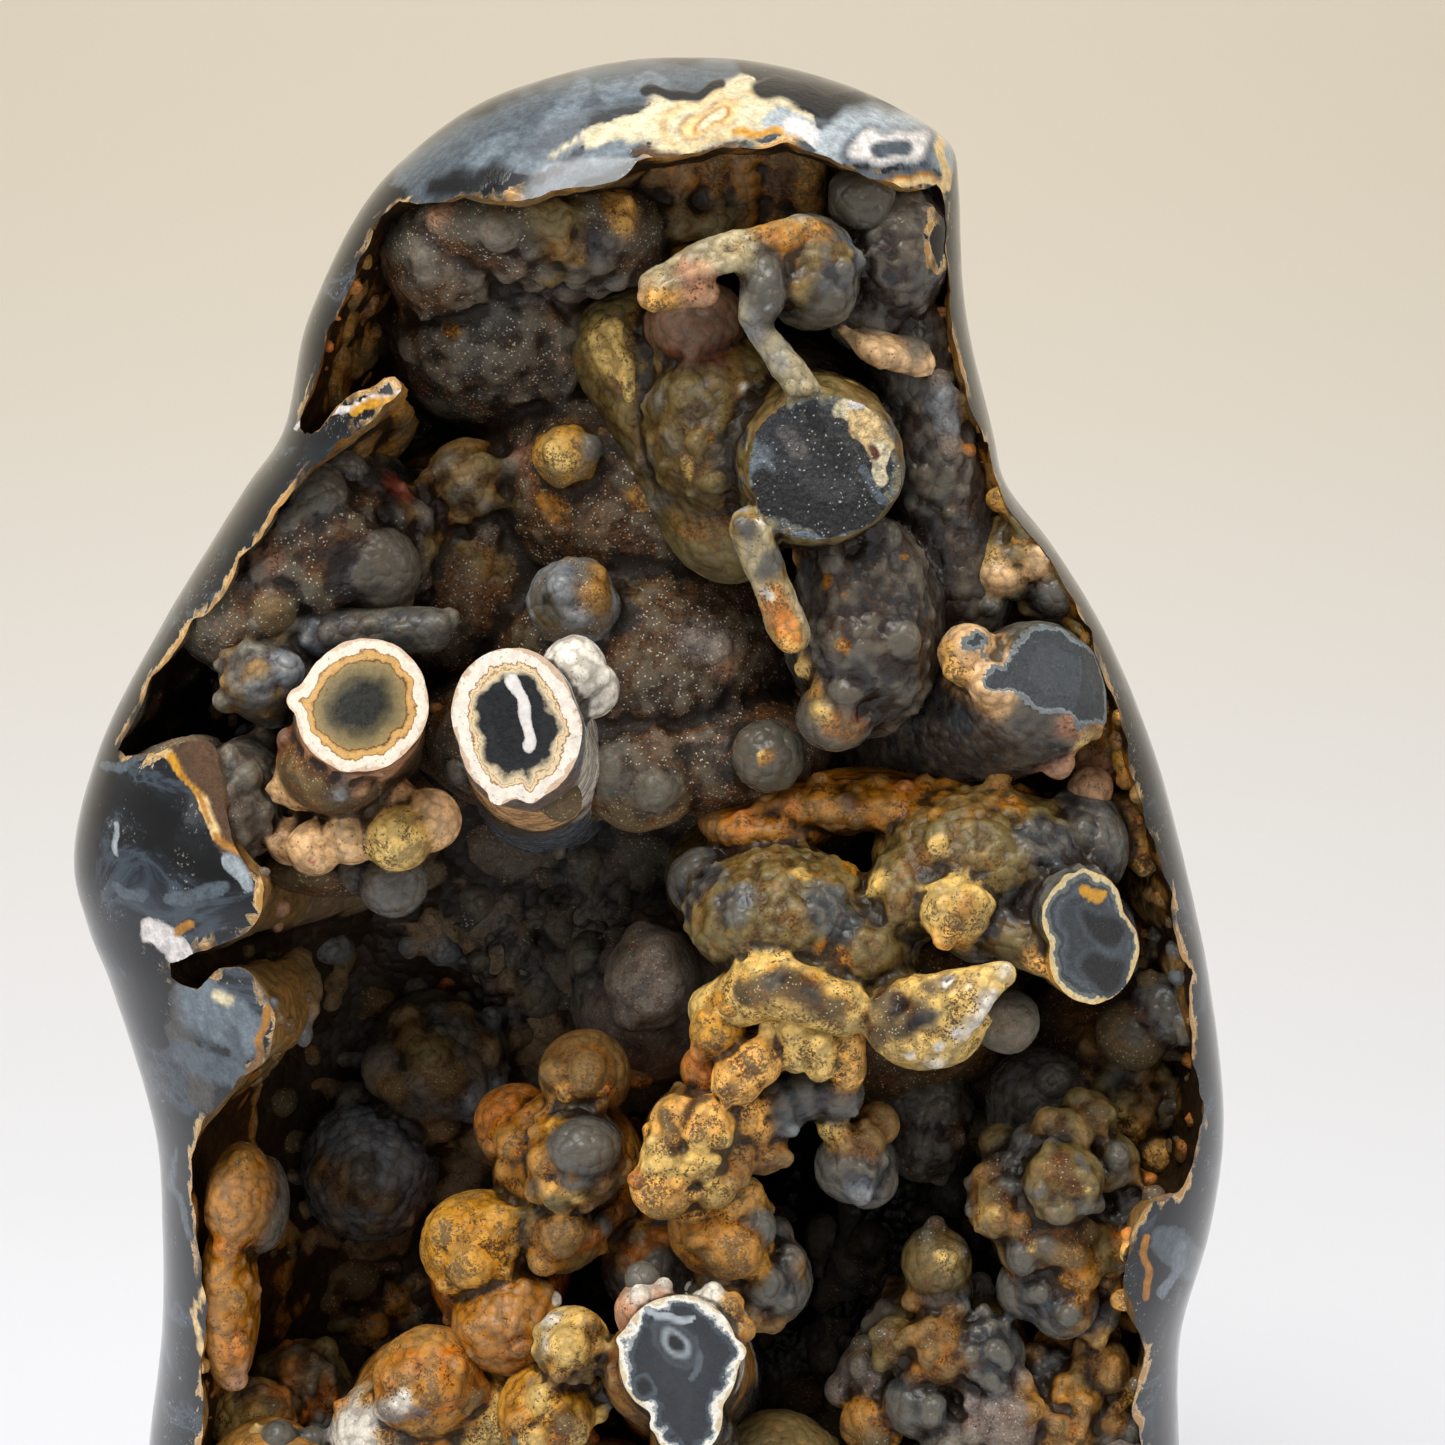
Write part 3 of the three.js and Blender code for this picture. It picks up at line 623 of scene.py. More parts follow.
            "ochre": [(760, 812, 13), (820, 785, 14), (875, 784, 16), (950, 782, 14), (1000, 776, 13),
                      (965, 906, 14)],
            "umber": [(846, 802, 10)],
        },
        "scatter": [
            (790, 912, 110, 64, 300, 5, 9, ("host",)),
            (990, 850, 118, 66, 300, 5, 9, ("host",)),
            (930, 1010, 60, 34, 40, 5, 9, ("host",)),
            (860, 800, 140, 30, 60, 5, 9, ("host", "ochre")),
        ],
        "paint": {
            "slate": [(706, 880, 30), (826, 905, 30), (846, 925, 20), (1060, 850, 38), (1070, 880, 30),
                      (1040, 830, 24), (730, 905, 24), (1010, 905, 22), (1040, 900, 22), (690, 910, 14),
                      (990, 930, 14)],
            "yellow": [(850, 865, 18), (716, 1004, 12), (745, 984, 20), (774, 976, 23), (806, 984, 23),
                       (834, 1000, 18)],
            "cream": [(870, 890, 20), (1076, 890, 10), (940, 850, 14), (800, 880, 10), (910, 930, 10)],
            "umber": [(738, 986, 15), (756, 982, 21), (780, 982, 24), (804, 990, 23), (828, 1000, 17),
                      (884, 1000, 24), (905, 1022, 24), (880, 1034, 16), (700, 1060, 12), (925, 986, 12),
                      (944, 983, 13)],
            "pearl": [(1000, 978, 6), (990, 996, 7), (976, 1014, 7), (960, 1034, 7), (944, 1050, 7),
                      (944, 983, 8), (915, 1058, 6), (968, 990, 5)],
            "black": [(926, 1024, 16), (944, 983, 4), (770, 980, 12), (806, 990, 10), (896, 1008, 10),
                      (1132, 1034, 17)],
            "ochre": [(836, 955, 18), (1040, 795, 20), (1010, 800, 16), (708, 1020, 10), (850, 1020, 10)],
            "rust": [(900, 776, 9), (846, 800, 10), (780, 812, 8), (960, 770, 8)],
            "bark": [(950, 905, 8), (962, 920, 6), (1090, 780, 10)],
        },
        "cuts": [(1103, 945, 90, "blackCore")],
    },
    {
        "name": "peachBunch", "voxel": 0.55, "inset": 0.2, "swell": 1.0, "cobble": ((2, 0.1),),
        "sink": 0.45,
        "masses": [(676, 1156, -32, (5.4, 7, 8.4), "peach"), (712, 1150, -32, (5.6, 7, 8), "cream")],
        "stalks": [
            ((700, 1140, 30, 10.4), (700, 1140, -24, 8.6), "tan"),
            ((862, 1165, 30, 7), (862, 1165, -20, 5.6), "slate"),
            ((771, 1026, -36, 2), (772, 1054, -36, 2), "cream"),
            ((794, 1028, -38, 2.2), (796, 1060, -37, 2.2), "cream"),
            ((819, 1040, -38, 2.2), (820, 1068, -36, 2.2), "cream"),
            ((847, 1036, -35, 2.9), (848, 1072, -34, 2.9), "peach"),
        ],
        "balls": [
            (718, 1030, -34, 4.4, "yellow"), (757, 1062, -37, 3.8, "peach"), (738, 1078, -37, 4, "peach"),
            (708, 1070, -30, 4.4, "orange"), (778, 1106, -31, 5, "slate"), (806, 1094, -31, 4.4, "slate"),
            (836, 1092, -31, 4.6, "slate"), (678, 1122, -35, 4.6, "peach"), (708, 1124, -37, 4.4, "peach"),
            (740, 1114, -34, 4.2, "peach"), (668, 1158, -37, 4.4, "cream"), (664, 1186, -37, 5.2, "peach"),
            (713, 1182, -36, 4.2, "cream"), (696, 1156, -37, 4.2, "cream"), (732, 1162, -35, 3.8, "tan"),
            (762, 1150, -32, 4, "tan"), (690, 1200, -33, 4, "peach"),
            (850, 1166, -30, 5.6, "slate"), (870, 1180, -28, 4.4, "slate"), (833, 1126, -31, 2.8, "cream"),
            (846, 1146, -32, 2.6, "tan"), (877, 1124, -26, 3.4, "tan"), (862, 1144, -30, 3.6, "tan"),
        ],
        "lumps": {
            "yellow": [(707, 1018, 12), (730, 1008, 12)],
            "tan": [(782, 1158, 12), (672, 1140, 14), (758, 1134, 14), (730, 1182, 12)],
            "cream": [(700, 1140, 12), (722, 1140, 12), (650, 1168, 12), (684, 1178, 12)],
            "bluegrey": [(860, 1192, 14), (792, 1128, 12)],
            "orange": [(640, 1075, 16), (600, 1090, 10), (700, 1052, 12)],
        },
        "scatter": [
            (710, 1130, 66, 72, 60, 5, 10, ("host",)),
            (860, 1155, 36, 45, 16, 5, 9, ("host",)),
        ],
        "paint": {
            "bark": [(700, 1104, 14), (672, 1118, 12), (730, 1082, 10), (690, 1094, 11), (745, 1060, 8)],
            "umber": [(672, 1142, 8), (833, 1122, 5)],
            "slate": [(835, 1118, 20), (795, 1112, 20)],
        },
        "cuts": [(740, 1090, 200, "peachCut")],
    },
    {
        "name": "ochreBunch", "voxel": 0.65, "inset": 0.23, "swell": 1.2, "cobble": ((2, 0.16),),
        "sink": 0.45,
        "stalks": [
            ((570, 1170, 30, 13.8), (570, 1170, -16, 12), "ochre"),
            ((500, 1270, 30, 12.6), (500, 1270, -14, 11), "orange"),
            ((520, 1345, 30, 10.4), (520, 1345, -14, 9), "ochre"),
            ((740, 1262, 30, 10.4), (740, 1262, -18, 9), "tan"),
        ],
        "balls": [
            (585, 1075, -20, 7.4, "tan"), (577, 1158, -27, 8, "slate"), (560, 1226, -25, 7.4, "olive"),
            (516, 1125, -12, 7, "orange"), (476, 1244, -24, 8.6, "yellow"), (506, 1320, -27, 8.6, "amber"),
            (718, 1226, -29, 8, "ochre"), (765, 1278, -26, 7.4, "slate"),
            (655, 1262, -16, 9, "slate"),
        ],
        "lumps": {
            "tan": [(587, 1073, 26), (557, 1071, 18), (600, 1100, 12), (562, 1232, 28), (750, 1312, 18),
                    (735, 1290, 16), (600, 1180, 16)],
            "slate": [(583, 1147, 36), (578, 1175, 20), (755, 1227, 24), (764, 1282, 24), (776, 1234, 20),
                      (642, 1280, 20), (658, 1266, 20), (598, 1160, 20), (600, 1225, 16), (790, 1260, 18),
                      (780, 1300, 16), (700, 1290, 12)],
            "ochre": [(615, 1239, 18), (514, 1142, 24), (546, 1160, 18), (730, 1248, 34), (620, 1170, 16),
                      (540, 1190, 16), (505, 1170, 14), (700, 1240, 18), (545, 1260, 18)],
            "peach": [(555, 1190, 18), (562, 1202, 16), (748, 1197, 22), (735, 1205, 16),
                      (566, 1090, 12)],
            "yellow": [(446, 1232, 20), (498, 1228, 24), (470, 1264, 22), (748, 1260, 20),
                       (555, 1130, 14)],
            "orange": [(628, 1220, 20), (527, 1120, 14), (520, 1346, 16), (755, 1275, 10),
                       (610, 1210, 14), (640, 1180, 12)],
            "umber": [(578, 1181, 10), (640, 1240, 12)], "cream": [(575, 1192, 12)],
        },
        "scatter": [
            (490, 1280, 60, 85, 40, 7, 12, ("host",)),
            (580, 1150, 60, 80, 30, 7, 12, ("host", "host", "ochre")),
            (750, 1260, 50, 70, 26, 8, 14, ("host", "tan", "slate")),
            (620, 1230, 50, 40, 26, 6, 11, ("ochre", "orange", "slate")),
        ],
        "paint": {"umber": [(575, 1178, 9), (486, 1296, 7)], "olive": [(560, 1210, 20), (600, 1200, 14)],
                  "slate": [(560, 1150, 22)]},
    },
    {
        "name": "starTip", "voxel": 0.55, "inset": 0.26, "swell": 1.0, "cobble": ((2, 0.2),), "sink": 0.25,
        "stalks": [
            ((690, 1385, 14, 14), (678, 1352, -64, 8), "slate"),
            ((700, 1470, 0, 9), (688, 1415, -56, 5), "slate"),
            ((562, 1385, 30, 9.2), (562, 1385, -28, 8), "ochre"),
            ((655, 1370, 30, 9.2), (655, 1370, -38, 8), "tan"),
        ],
        "balls": [
            (572, 1344, -35, 6, "cream"), (545, 1412, -34, 7.6, "yellow"), (646, 1312, -46, 5, "salmon"),
            (712, 1326, -48, 5.4, "pearl"),
        ],
        "lumps": {
            "pearl": [(553, 1300, 9), (551, 1320, 8), (550, 1345, 9), (640, 1292, 12), (713, 1292, 12),
                      (690, 1286, 10), (664, 1286, 10)],
            "cream": [(569, 1347, 24), (575, 1430, 18), (598, 1412, 12), (610, 1420, 12), (540, 1400, 16),
                      (535, 1440, 20)],
            "ochre": [(587, 1324, 14), (733, 1305, 14), (742, 1330, 14), (560, 1370, 14),
                      (520, 1420, 16)],
            "bluegrey": [(601, 1384, 12), (604, 1400, 10), (610, 1315, 11), (626, 1340, 10)],
            "rust": [(601, 1349, 9), (612, 1368, 8), (555, 1379, 10)],
            "umber": [(564, 1425, 14), (635, 1441, 16), (735, 1350, 12)],
            "orange": [(590, 1440, 12), (556, 1440, 12)],
        },
        "scatter": [
            (570, 1370, 45, 60, 40, 5, 9, ("host", "bark", "tan")),
            (700, 1430, 50, 40, 24, 7, 11, ("slate", "charcoal")),
        ],
        "paint": {"umber": [(587, 1322, 6), (560, 1420, 10)]},
        "cuts": [(680, 1365, 130, "starCore")],
    },
    {
        "name": "lowerLeft", "voxel": 0.7, "inset": 0.29, "swell": 1.4, "cobble": ((2, 0.2),), "sink": 0.45,
        "stalks": [((430, 1415, 30, 15), (430, 1415, -20, 13), "ochre")],
        "masses": [
            (240, 1196, -24, (5.6, 9, 8.6), "amber"), (264, 1204, -21, (4, 8, 7.6), "slate"),
            (230, 1300, -24, (4.4, 9, 15), "amber"),
        ],
        "balls": [
            (430, 1380, -30, 8.6, "ochre"), (388, 1430, -25, 9, "pearl"), (484, 1408, -26, 7.6, "cream"),
            (252, 1420, -14, 7, "cream"), (300, 1395, -2, 9, "olive"),
        ],
        "lumps": {
            "lavender": [(410, 1378, 14), (396, 1405, 18)],
            "pearl": [(405, 1398, 12), (385, 1410, 12)],
            "ochre": [(435, 1389, 18), (455, 1370, 16), (232, 1300, 16), (228, 1260, 14), (367, 1325, 26),
                      (395, 1300, 18), (240, 1160, 14)],
            "cream": [(497, 1402, 10), (490, 1420, 10), (254, 1415, 12), (256, 1432, 10),
                      (480, 1396, 10)],
            "orange": [(449, 1395, 12), (298, 1415, 11), (341, 1405, 10), (235, 1345, 16),
                       (228, 1245, 14)],
            "slate": [(279, 1438, 18), (311, 1440, 16), (520, 1440, 14)],
            "olive": [(307, 1380, 14), (340, 1320, 20), (290, 1360, 14), (325, 1350, 16)],
            "umber": [(355, 1277, 28), (330, 1300, 18), (474, 1395, 12)],
            "salmon": [(240, 1360, 12), (236, 1380, 12), (262, 1392, 10)],
            "bluegrey": [(295, 1394, 9), (320, 1420, 12)],
        },
        "scatter": [
            (430, 1400, 60, 45, 40, 6, 11, ("host", "ochre", "orange")),
            (290, 1390, 50, 45, 50, 6, 11, ("umber", "olive", "slate", "orange")),
            (235, 1290, 24, 70, 16, 6, 11, ("host",)),
            (370, 1300, 50, 40, 30, 6, 11, ("umber", "olive", "dusk")),
        ],
        "paint": {"umber": [(240, 1160, 6)], "pearl": [(398, 1398, 14)], "lavender": [(412, 1412, 12)]},
    },
    {
        "name": "hollowFloor", "voxel": 0.8, "inset": 0.05, "swell": 2.0, "cobble": ((4, 0.3), (2, 0.2)),
        "sink": 0.6,
        "masses": [
            (655, 1000, 12, (14, 17, 14), "lavender"), (372, 1165, 24, (12, 14, 13), "bluegrey"),
            (440, 1060, 27, (13, 14, 12), "grey"), (505, 1120, 28, (9, 12, 9), "clay"),
        ],
        "balls": [(652, 978, -7, 8, "lavender")],
        "lumps": {
            "lavender": [(657, 956, 26), (640, 935, 18), (668, 985, 22), (628, 1014, 18), (645, 1030, 16),
                         (650, 1005, 18)],
            "bluegrey": [(240, 1020, 26), (222, 1040, 18), (332, 945, 22), (445, 945, 20),
                         (474, 1096, 16), (258, 1045, 16), (470, 1110, 12), (225, 1062, 14)],
            "ochre": [(262, 995, 11), (279, 1021, 11), (246, 975, 11), (200, 1000, 10)],
            "orange": [(450, 984, 10), (493, 1147, 12)],
            "umber": [(373, 998, 20), (400, 1020, 16), (280, 1100, 18), (290, 1140, 16)],
            "olive": [(431, 1055, 24), (412, 1042, 14), (362, 1016, 8), (270, 959, 12), (245, 952, 10)],
            "grey": [(390, 1067, 34), (357, 1101, 22), (590, 960, 30), (560, 920, 28), (540, 990, 28),
                     (480, 900, 22), (420, 1130, 22), (390, 1115, 10), (590, 860, 16), (620, 890, 14),
                     (560, 850, 12)],
            "slate": [(362, 1172, 18), (480, 960, 16), (440, 1010, 16), (600, 930, 16), (520, 950, 18)],
        },
        "scatter": [
            (430, 1040, 150, 110, 70, 9, 20, ("clay", "grey", "bluegrey", "bark")),
            (560, 930, 120, 70, 60, 7, 16, ("grey", "dusk", "slate")),
            (250, 1040, 36, 60, 40, 4, 8, ("bluegrey", "tan", "umber")),
            (650, 985, 36, 60, 60, 5, 9, ("lavender", "grey")),
            (330, 1220, 80, 60, 40, 6, 12, ("umber", "bark", "clay")),
        ],
        "paint": {"ochre": [(560, 1050, 14), (300, 1240, 14)]},
    },
    {
        "name": "rightBunch", "voxel": 0.65, "inset": 0.32, "swell": 1.0, "cobble": ((2, 0.14),),
        "sink": 0.2,
        "masses": [
            (1110, 1080, 8, (15, 20, 22), "umber"), (1066, 1215, -11, (13, 18, 14), "slate"),
            (945, 1355, -10, (14, 16, 14), "olive"), (1090, 1400, -10, (14, 16, 12), "olive"),
        ],
        "stalks": [
            ((1060, 1238, 30, 13.8), (1066, 1230, -8, 12), "olive"),
            ((945, 1365, 30, 13.8), (945, 1365, -8, 12), "tan"),
            ((1085, 1410, 30, 13.8), (1085, 1410, -8, 12), "olive"),
        ],
        "balls": [
            (928, 1108, 2, 8, "charcoal"), (924, 1140, 0, 7, "charcoal"),
            (1002, 1204, -26, 5.9, "tan"), (1064, 1182, -31, 6.2, "olive"), (1130, 1196, -22, 5, "slate"),
            (1058, 1140, -24, 5, "olive"), (1088, 1120, -21, 4.6, "olive"), (1034, 1148, -24, 4.2, "slate"),
            (1112, 1162, -24, 4.6, "olive"), (1026, 1246, -28, 4.6, "tan"), (1054, 1232, -29, 5.2, "bark"),
            (1094, 1244, -26, 4.6, "olive"), (1118, 1230, -23, 3, "peach"), (1062, 1302, -28, 5.8, "slate"),
            (1030, 1288, -26, 5.2, "slate"), (1092, 1312, -24, 4.4, "slate"), (1076, 1270, -30, 4, "ochre"),
            (1008, 1170, -22, 4.4, "grey"),
            (936, 1262, -22, 5.8, "olive"), (938, 1288, -21, 5.6, "slate"),
            (896, 1342, -24, 4.2, "olive"), (940, 1348, -26, 5.8, "tan"), (986, 1352, -26, 6.2, "slate"),
            (1002, 1412, -28, 6.8, "lavender"), (918, 1402, -26, 5.6, "slate"), (958, 1440, -28, 6, "grey"),
            (872, 1424, -22, 5.2, "ochre"), (874, 1376, -16, 6, "lavender"),
            (1102, 1366, -24, 4.6, "tan"), (1124, 1386, -22, 3.6, "peach"), (1072, 1396, -25, 5.2, "olive"),
            (1058, 1432, -27, 5.8, "tan"), (1106, 1424, -23, 5, "slate"), (1046, 1372, -22, 4.2, "slate"),
            (1060, 1350, -18, 4.6, "ochre"), (1134, 1420, -20, 4.2, "olive"),
        ],
        "lumps": {
            "charcoal": [(954, 1192, 26), (870, 1240, 22), (980, 1290, 18)],
            "olive": [(983, 1125, 22), (1000, 1143, 20), (1078, 1100, 14), (1100, 1140, 12),
                      (1138, 1408, 14)],
            "slate": [(1053, 1081, 18), (1120, 1176, 12), (1010, 1186, 12), (1086, 1204, 12),
                      (1131, 1431, 14)],
            "tan": [(1083, 1323, 10), (912, 1302, 12), (930, 1350, 14)],
            "ochre": [(1033, 1352, 14), (1120, 1250, 12), (1080, 1296, 10)],
            "peach": [(1135, 1125, 16), (1156, 1154, 20), (1118, 1331, 16), (1098, 1338, 12),
                      (1124, 1300, 14)],
            "cream": [(1120, 1110, 14), (988, 1218, 12), (1104, 1250, 10), (950, 1258, 10)],
            "lavender": [(824, 1358, 18), (840, 1390, 18)],
            "grey": [(860, 1367, 14), (827, 1240, 26), (850, 1270, 18)],
            "umber": [(874, 1440, 14), (800, 1400, 24), (830, 1430, 22), (1170, 1090, 18)],
            "red": [(1144, 1331, 9)],
            "orange": [(1130, 1320, 12), (821, 1232, 9), (1150, 1180, 12), (1140, 1280, 14)],
        },
        "scatter": [
            (1066, 1215, 90, 100, 60, 9, 18, ("host", "host", "slate")),
            (1080, 1395, 80, 50, 34, 8, 14, ("host", "host", "ochre")),
            (945, 1370, 80, 80, 40, 8, 14, ("host",)),
            (850, 1290, 50, 70, 40, 6, 12, ("dusk", "umber", "grey")),
            (1100, 1090, 90, 50, 60, 7, 14, ("olive", "slate", "tan", "umber")),
            (960, 1190, 50, 70, 30, 7, 12, ("charcoal", "dusk")),
            (1130, 1290, 30, 60, 30, 7, 13, ("ochre", "peach", "orange")),
        ],
        "paint": {
            "bark": [(1058, 1170, 20), (1078, 1184, 12), (1050, 1226, 16), (1000, 1192, 14),
                     (1020, 1240, 12), (926, 1276, 10), (1077, 1266, 8), (935, 1340, 12)],
            "cream": [(988, 1216, 10), (946, 1252, 9), (1034, 1250, 7), (1088, 1190, 8)],
            "slate": [(1084, 1160, 12), (1044, 1196, 8)],
        },
    },
    {
        "name": "rightLining", "voxel": 0.8, "inset": 0.35, "swell": 2.0, "cobble": ((4, 0.4), (2, 0.2)),
        "stalks": [
            ((842, 330, -26, 1.2), (878, 354, -28, 2.2), "wax"),
            ((878, 354, -28, 2.2), (928, 366, -24, 1.4), "wax"),
            ((862, 334, -25, 1.6), (918, 350, -24, 1.6), "smoke"),
            ((938, 385, -14, 4), (950, 440, -14, 4), "lavender"),
        ],
        "lumps": {
            "ochre": [(1070, 620, 12), (1098, 680, 12), (1020, 540, 16), (1128, 780, 12), (960, 330, 12),
                      (965, 360, 12), (972, 395, 12), (984, 440, 12), (995, 470, 12), (330, 400, 16),
                      (352, 300, 14), (338, 360, 16), (365, 262, 12), (376, 330, 12), (1160, 900, 12)],
            "yellow": [(1108, 705, 11), (1115, 740, 11), (1122, 760, 10), (345, 330, 14), (330, 385, 12)],
            "bluegrey": [(940, 400, 22), (944, 425, 18), (1175, 950, 12), (1182, 1020, 12)],
            "lavender": [(936, 380, 18), (948, 445, 16)],
            "orange": [(940, 312, 10), (950, 350, 10), (960, 400, 10), (968, 450, 10), (1190, 1060, 10),
                       (1192, 1120, 10), (348, 280, 11), (1140, 820, 10), (1185, 1150, 12)],
            "umber": [(1150, 980, 16), (1170, 1050, 16), (1165, 1110, 16), (1130, 960, 14),
                      (356, 420, 14)],
        },
        "scatter": [
            (350, 330, 34, 90, 60, 5, 10, ("ochre", "orange", "tan")),
            (975, 400, 12, 110, 30, 5, 8, ("ochre", "orange")),
            (1100, 700, 26, 130, 60, 6, 10, ("ochre", "yellow", "cream", "slate")),
            (1165, 1050, 28, 140, 70, 6, 11, ("umber", "tan", "slate")),
            (750, 200, 110, 45, 70, 6, 11, ("olive", "ochre", "tan")),
            (215, 1330, 14, 160, 40, 4, 8, ("ochre", "orange")),
        ],
    },
]

# Below the picture the lumps go on in rows, as far as the lower end of the mouth.
lowerPlan = {
    "name": "lowerRows", "voxel": 1.1, "inset": 0.38, "swell": 3.0, "cobble": ((4, 0.5), (2, 0.2)),
    "masses": [(650, 1600, 8, (72, 30, 26), "umber")],
    "rows": [(1505, 270, 1110, 6, -22, 12.5), (1590, 340, 1050, 5, -24, 13), (1665, 440, 960, 4, -22, 12)],
    "swayDots": 14, "swayDepth": 5, "swayTurn": 2.4,
    "tones": ("ochre", "slate", "tan", "olive", "umber", "lavender", "orange"),
    "scatter": [
        (400, 1560, 170, 110, 150, 10, 26, ("ochre", "tan", "slate", "orange", "cream")),
        (700, 1600, 200, 110, 170, 10, 26, ("olive", "tan", "slate", "ochre", "umber")),
        (1000, 1560, 150, 120, 140, 10, 26, ("tan", "lavender", "slate", "olive", "peach")),
    ],
}


def rowsOfBalls(plan):
    balls = []
    for row, start, end, count, y, r in plan["rows"]:
        for i in range(count):
            u = start + (end - start) * i / (count - 1)
            turn = i * plan["swayTurn"] + row
            v = row + plan["swayDots"] * math.sin(turn)
            tone = plan["tones"][(i + row) % len(plan["tones"])]
            balls.append((u, v, y + plan["swayDepth"] * math.cos(turn), r, tone))
    return balls


growths.append({**lowerPlan, "balls": rowsOfBalls(lowerPlan)})


# The first pieces of a growth, each with its tone: masses, stalks and balls.
def startGrowth(plan):
    parts = []
    for u, v, y, half, tone in plan.get("masses", []):
        parts.append((ballAt(seen(u, v, y), [h * mm for h in half]), tone))
    for root, tip, tone in plan.get("stalks", []):
        stalk = stalkOf(seen(*root[:3]), root[3] * mm, seen(*tip[:3]), tip[3] * mm)
        parts += [(part, tone) for part in stalk]
    for u, v, y, r, tone in plan.get("balls", []):
        parts.append((ballAt(seen(u, v, y), (r * mm,) * 3), tone))
    return parts


def treeOf(objects):
    places, faces, start = [], [], 0
    for obj in objects:
        places += [tuple(p) for p in valuesOf(obj.data.vertices, "co", 3)]
        faces += [[i + start for i in face.vertices] for face in obj.data.polygons]
        start = len(places)
    return BVHTree.FromPolygons(places, faces)


started = {plan["name"]: startGrowth(plan) for plan in growths}
allParts = [pair for parts in started.values() for pair in parts]
formTree = treeOf([part for part, _ in allParts])
hostTones = [tone for part, tone in allParts for _ in part.data.polygons]  # tone of each face in the tree
hostNames = [name for name, parts in started.items() for part, _ in parts for _ in part.data.polygons]
hollowTree = treeOf([hollow])
skinTree = treeOf([skin])
print("places to set lumps on")


# The nearest thing seen at a dot that lies inside the skin: its place, the way the eye looks at it, its
# tone and the growth it belongs to.
def frontOf(u, v):
    ray = (seen(u, v, 0) - eye).normalized()
    entry = skinTree.ray_cast(eye, ray)[3]
    if entry is None:
        return None, ray, None, None
    nudge = 0.2 * mm
    inside, far, last = 0, 0.0, None
    while True:
        place, normal, face, step = formTree.ray_cast(eye + ray * far, ray)
        if place is None or far + step > entry:
            break
        inside += 1 if normal.dot(ray) < 0 else -1
        last = face
        far += step + nudge
    if inside > 0:
        return eye + ray * entry, ray, hostTones[last], hostNames[last]
    back = hollowTree.ray_cast(eye + ray * entry, ray)
    if back[0] is None or back[1].dot(ray) < 0:
        return None, ray, None, None  # outside the mouth
    if place is not None and far + step < entry + back[3]:
        return place, ray, hostTones[face], hostNames[face]
    return back[0], ray, "dusk", None


lumpPlan = {
    "sink": 0.35,  # by default, how deep a lump's centre lies behind the surface, against its radius
    "half": (0.8, 1.15),  # least and most half size against the radius
}


def growLumps(plan, parts, draw):
    spots = [(u, v, r, tone) for tone, places in plan.get("lumps", {}).items() for u, v, r in places]
    placed, sink = len(spots), plan.get("sink", lumpPlan["sink"])
    for u, v, wide, high, count, least, most, names in plan.get("scatter", []):
        for _ in range(count):
            turn, far = draw.uniform(0, 2 * math.pi), math.sqrt(draw.uniform(0, 1))
            spots.append((
                u + wide * far * math.cos(turn), v + high * far * math.sin(turn),
                draw.uniform(least, most), names[draw.integers(len(names))],
            ))
    for i, (u, v, r, tone) in enumerate(spots):
        place, ray, host, owner = frontOf(u, v)
        if place is None or i >= placed and owner not in (plan["name"], None):
            continue
        size = r * dotSize(place)
        half = size * draw.uniform(*lumpPlan["half"], 3)
        parts.append((ballAt(place + ray * size * sink, half), host if tone == "host" else tone))


# Each place of a growth takes the tone of the form it lies on.
def tonesOfParts(parts):
    places = np.concatenate([valuesOf(part.data.vertices, "co", 3) for part, _ in parts])
    index = [np.full(len(part.data.vertices), toneNames.index(tone)) for part, tone in parts]
    tree = kdtree.KDTree(len(places))
    for i, place in enumerate(places):
        tree.insert(place, i)
    tree.balance()
    return tree, np.concatenate(index)


def distanceTo(centre, half, points):
    return (np.linalg.norm((points - centre) / half, axis=1) - 1) * half.min()


# On the wall each place takes the tone of the field it lies in, blended where two meet.
def tonesOfFields(fields, co, blend):
    forms = [(distanceTo(np.array(seen(u, v, y)), np.array(half) * mm, co), toneOf(tone))
             for u, v, y, half, tone in fields]
    nearest = np.min([far for far, _ in forms], axis=0)
    weights = [np.exp(-(far - nearest) / (blend * mm)) for far, _ in forms]
    return sum(w[:, None] * tone for w, (_, tone) in zip(weights, forms)) / sum(weights)[:, None]


# The mean of each place's neighbours, some rounds over.
def smoothed(mesh, values, rounds):
    ends = valuesOf(mesh.edges, "vertices", 2, np.int32)
    both = np.concatenate([ends[:, 0], ends[:, 1]])
    other = np.concatenate([ends[:, 1], ends[:, 0]])
    count = np.maximum(np.bincount(both, minlength=len(values)), 1)
    for _ in range(rounds):
        values = np.stack([
            np.bincount(both, weights=values[other, k], minlength=len(values)) / count
            for k in range(values.shape[1])
        ], axis=1)
    return values


# The number of each face's material.
def slotsOf(mesh):
    return valuesOf(mesh.polygons, "material_index", 1, np.int32)


edgeless = 0.03  # metres, said where a piece has no edge near


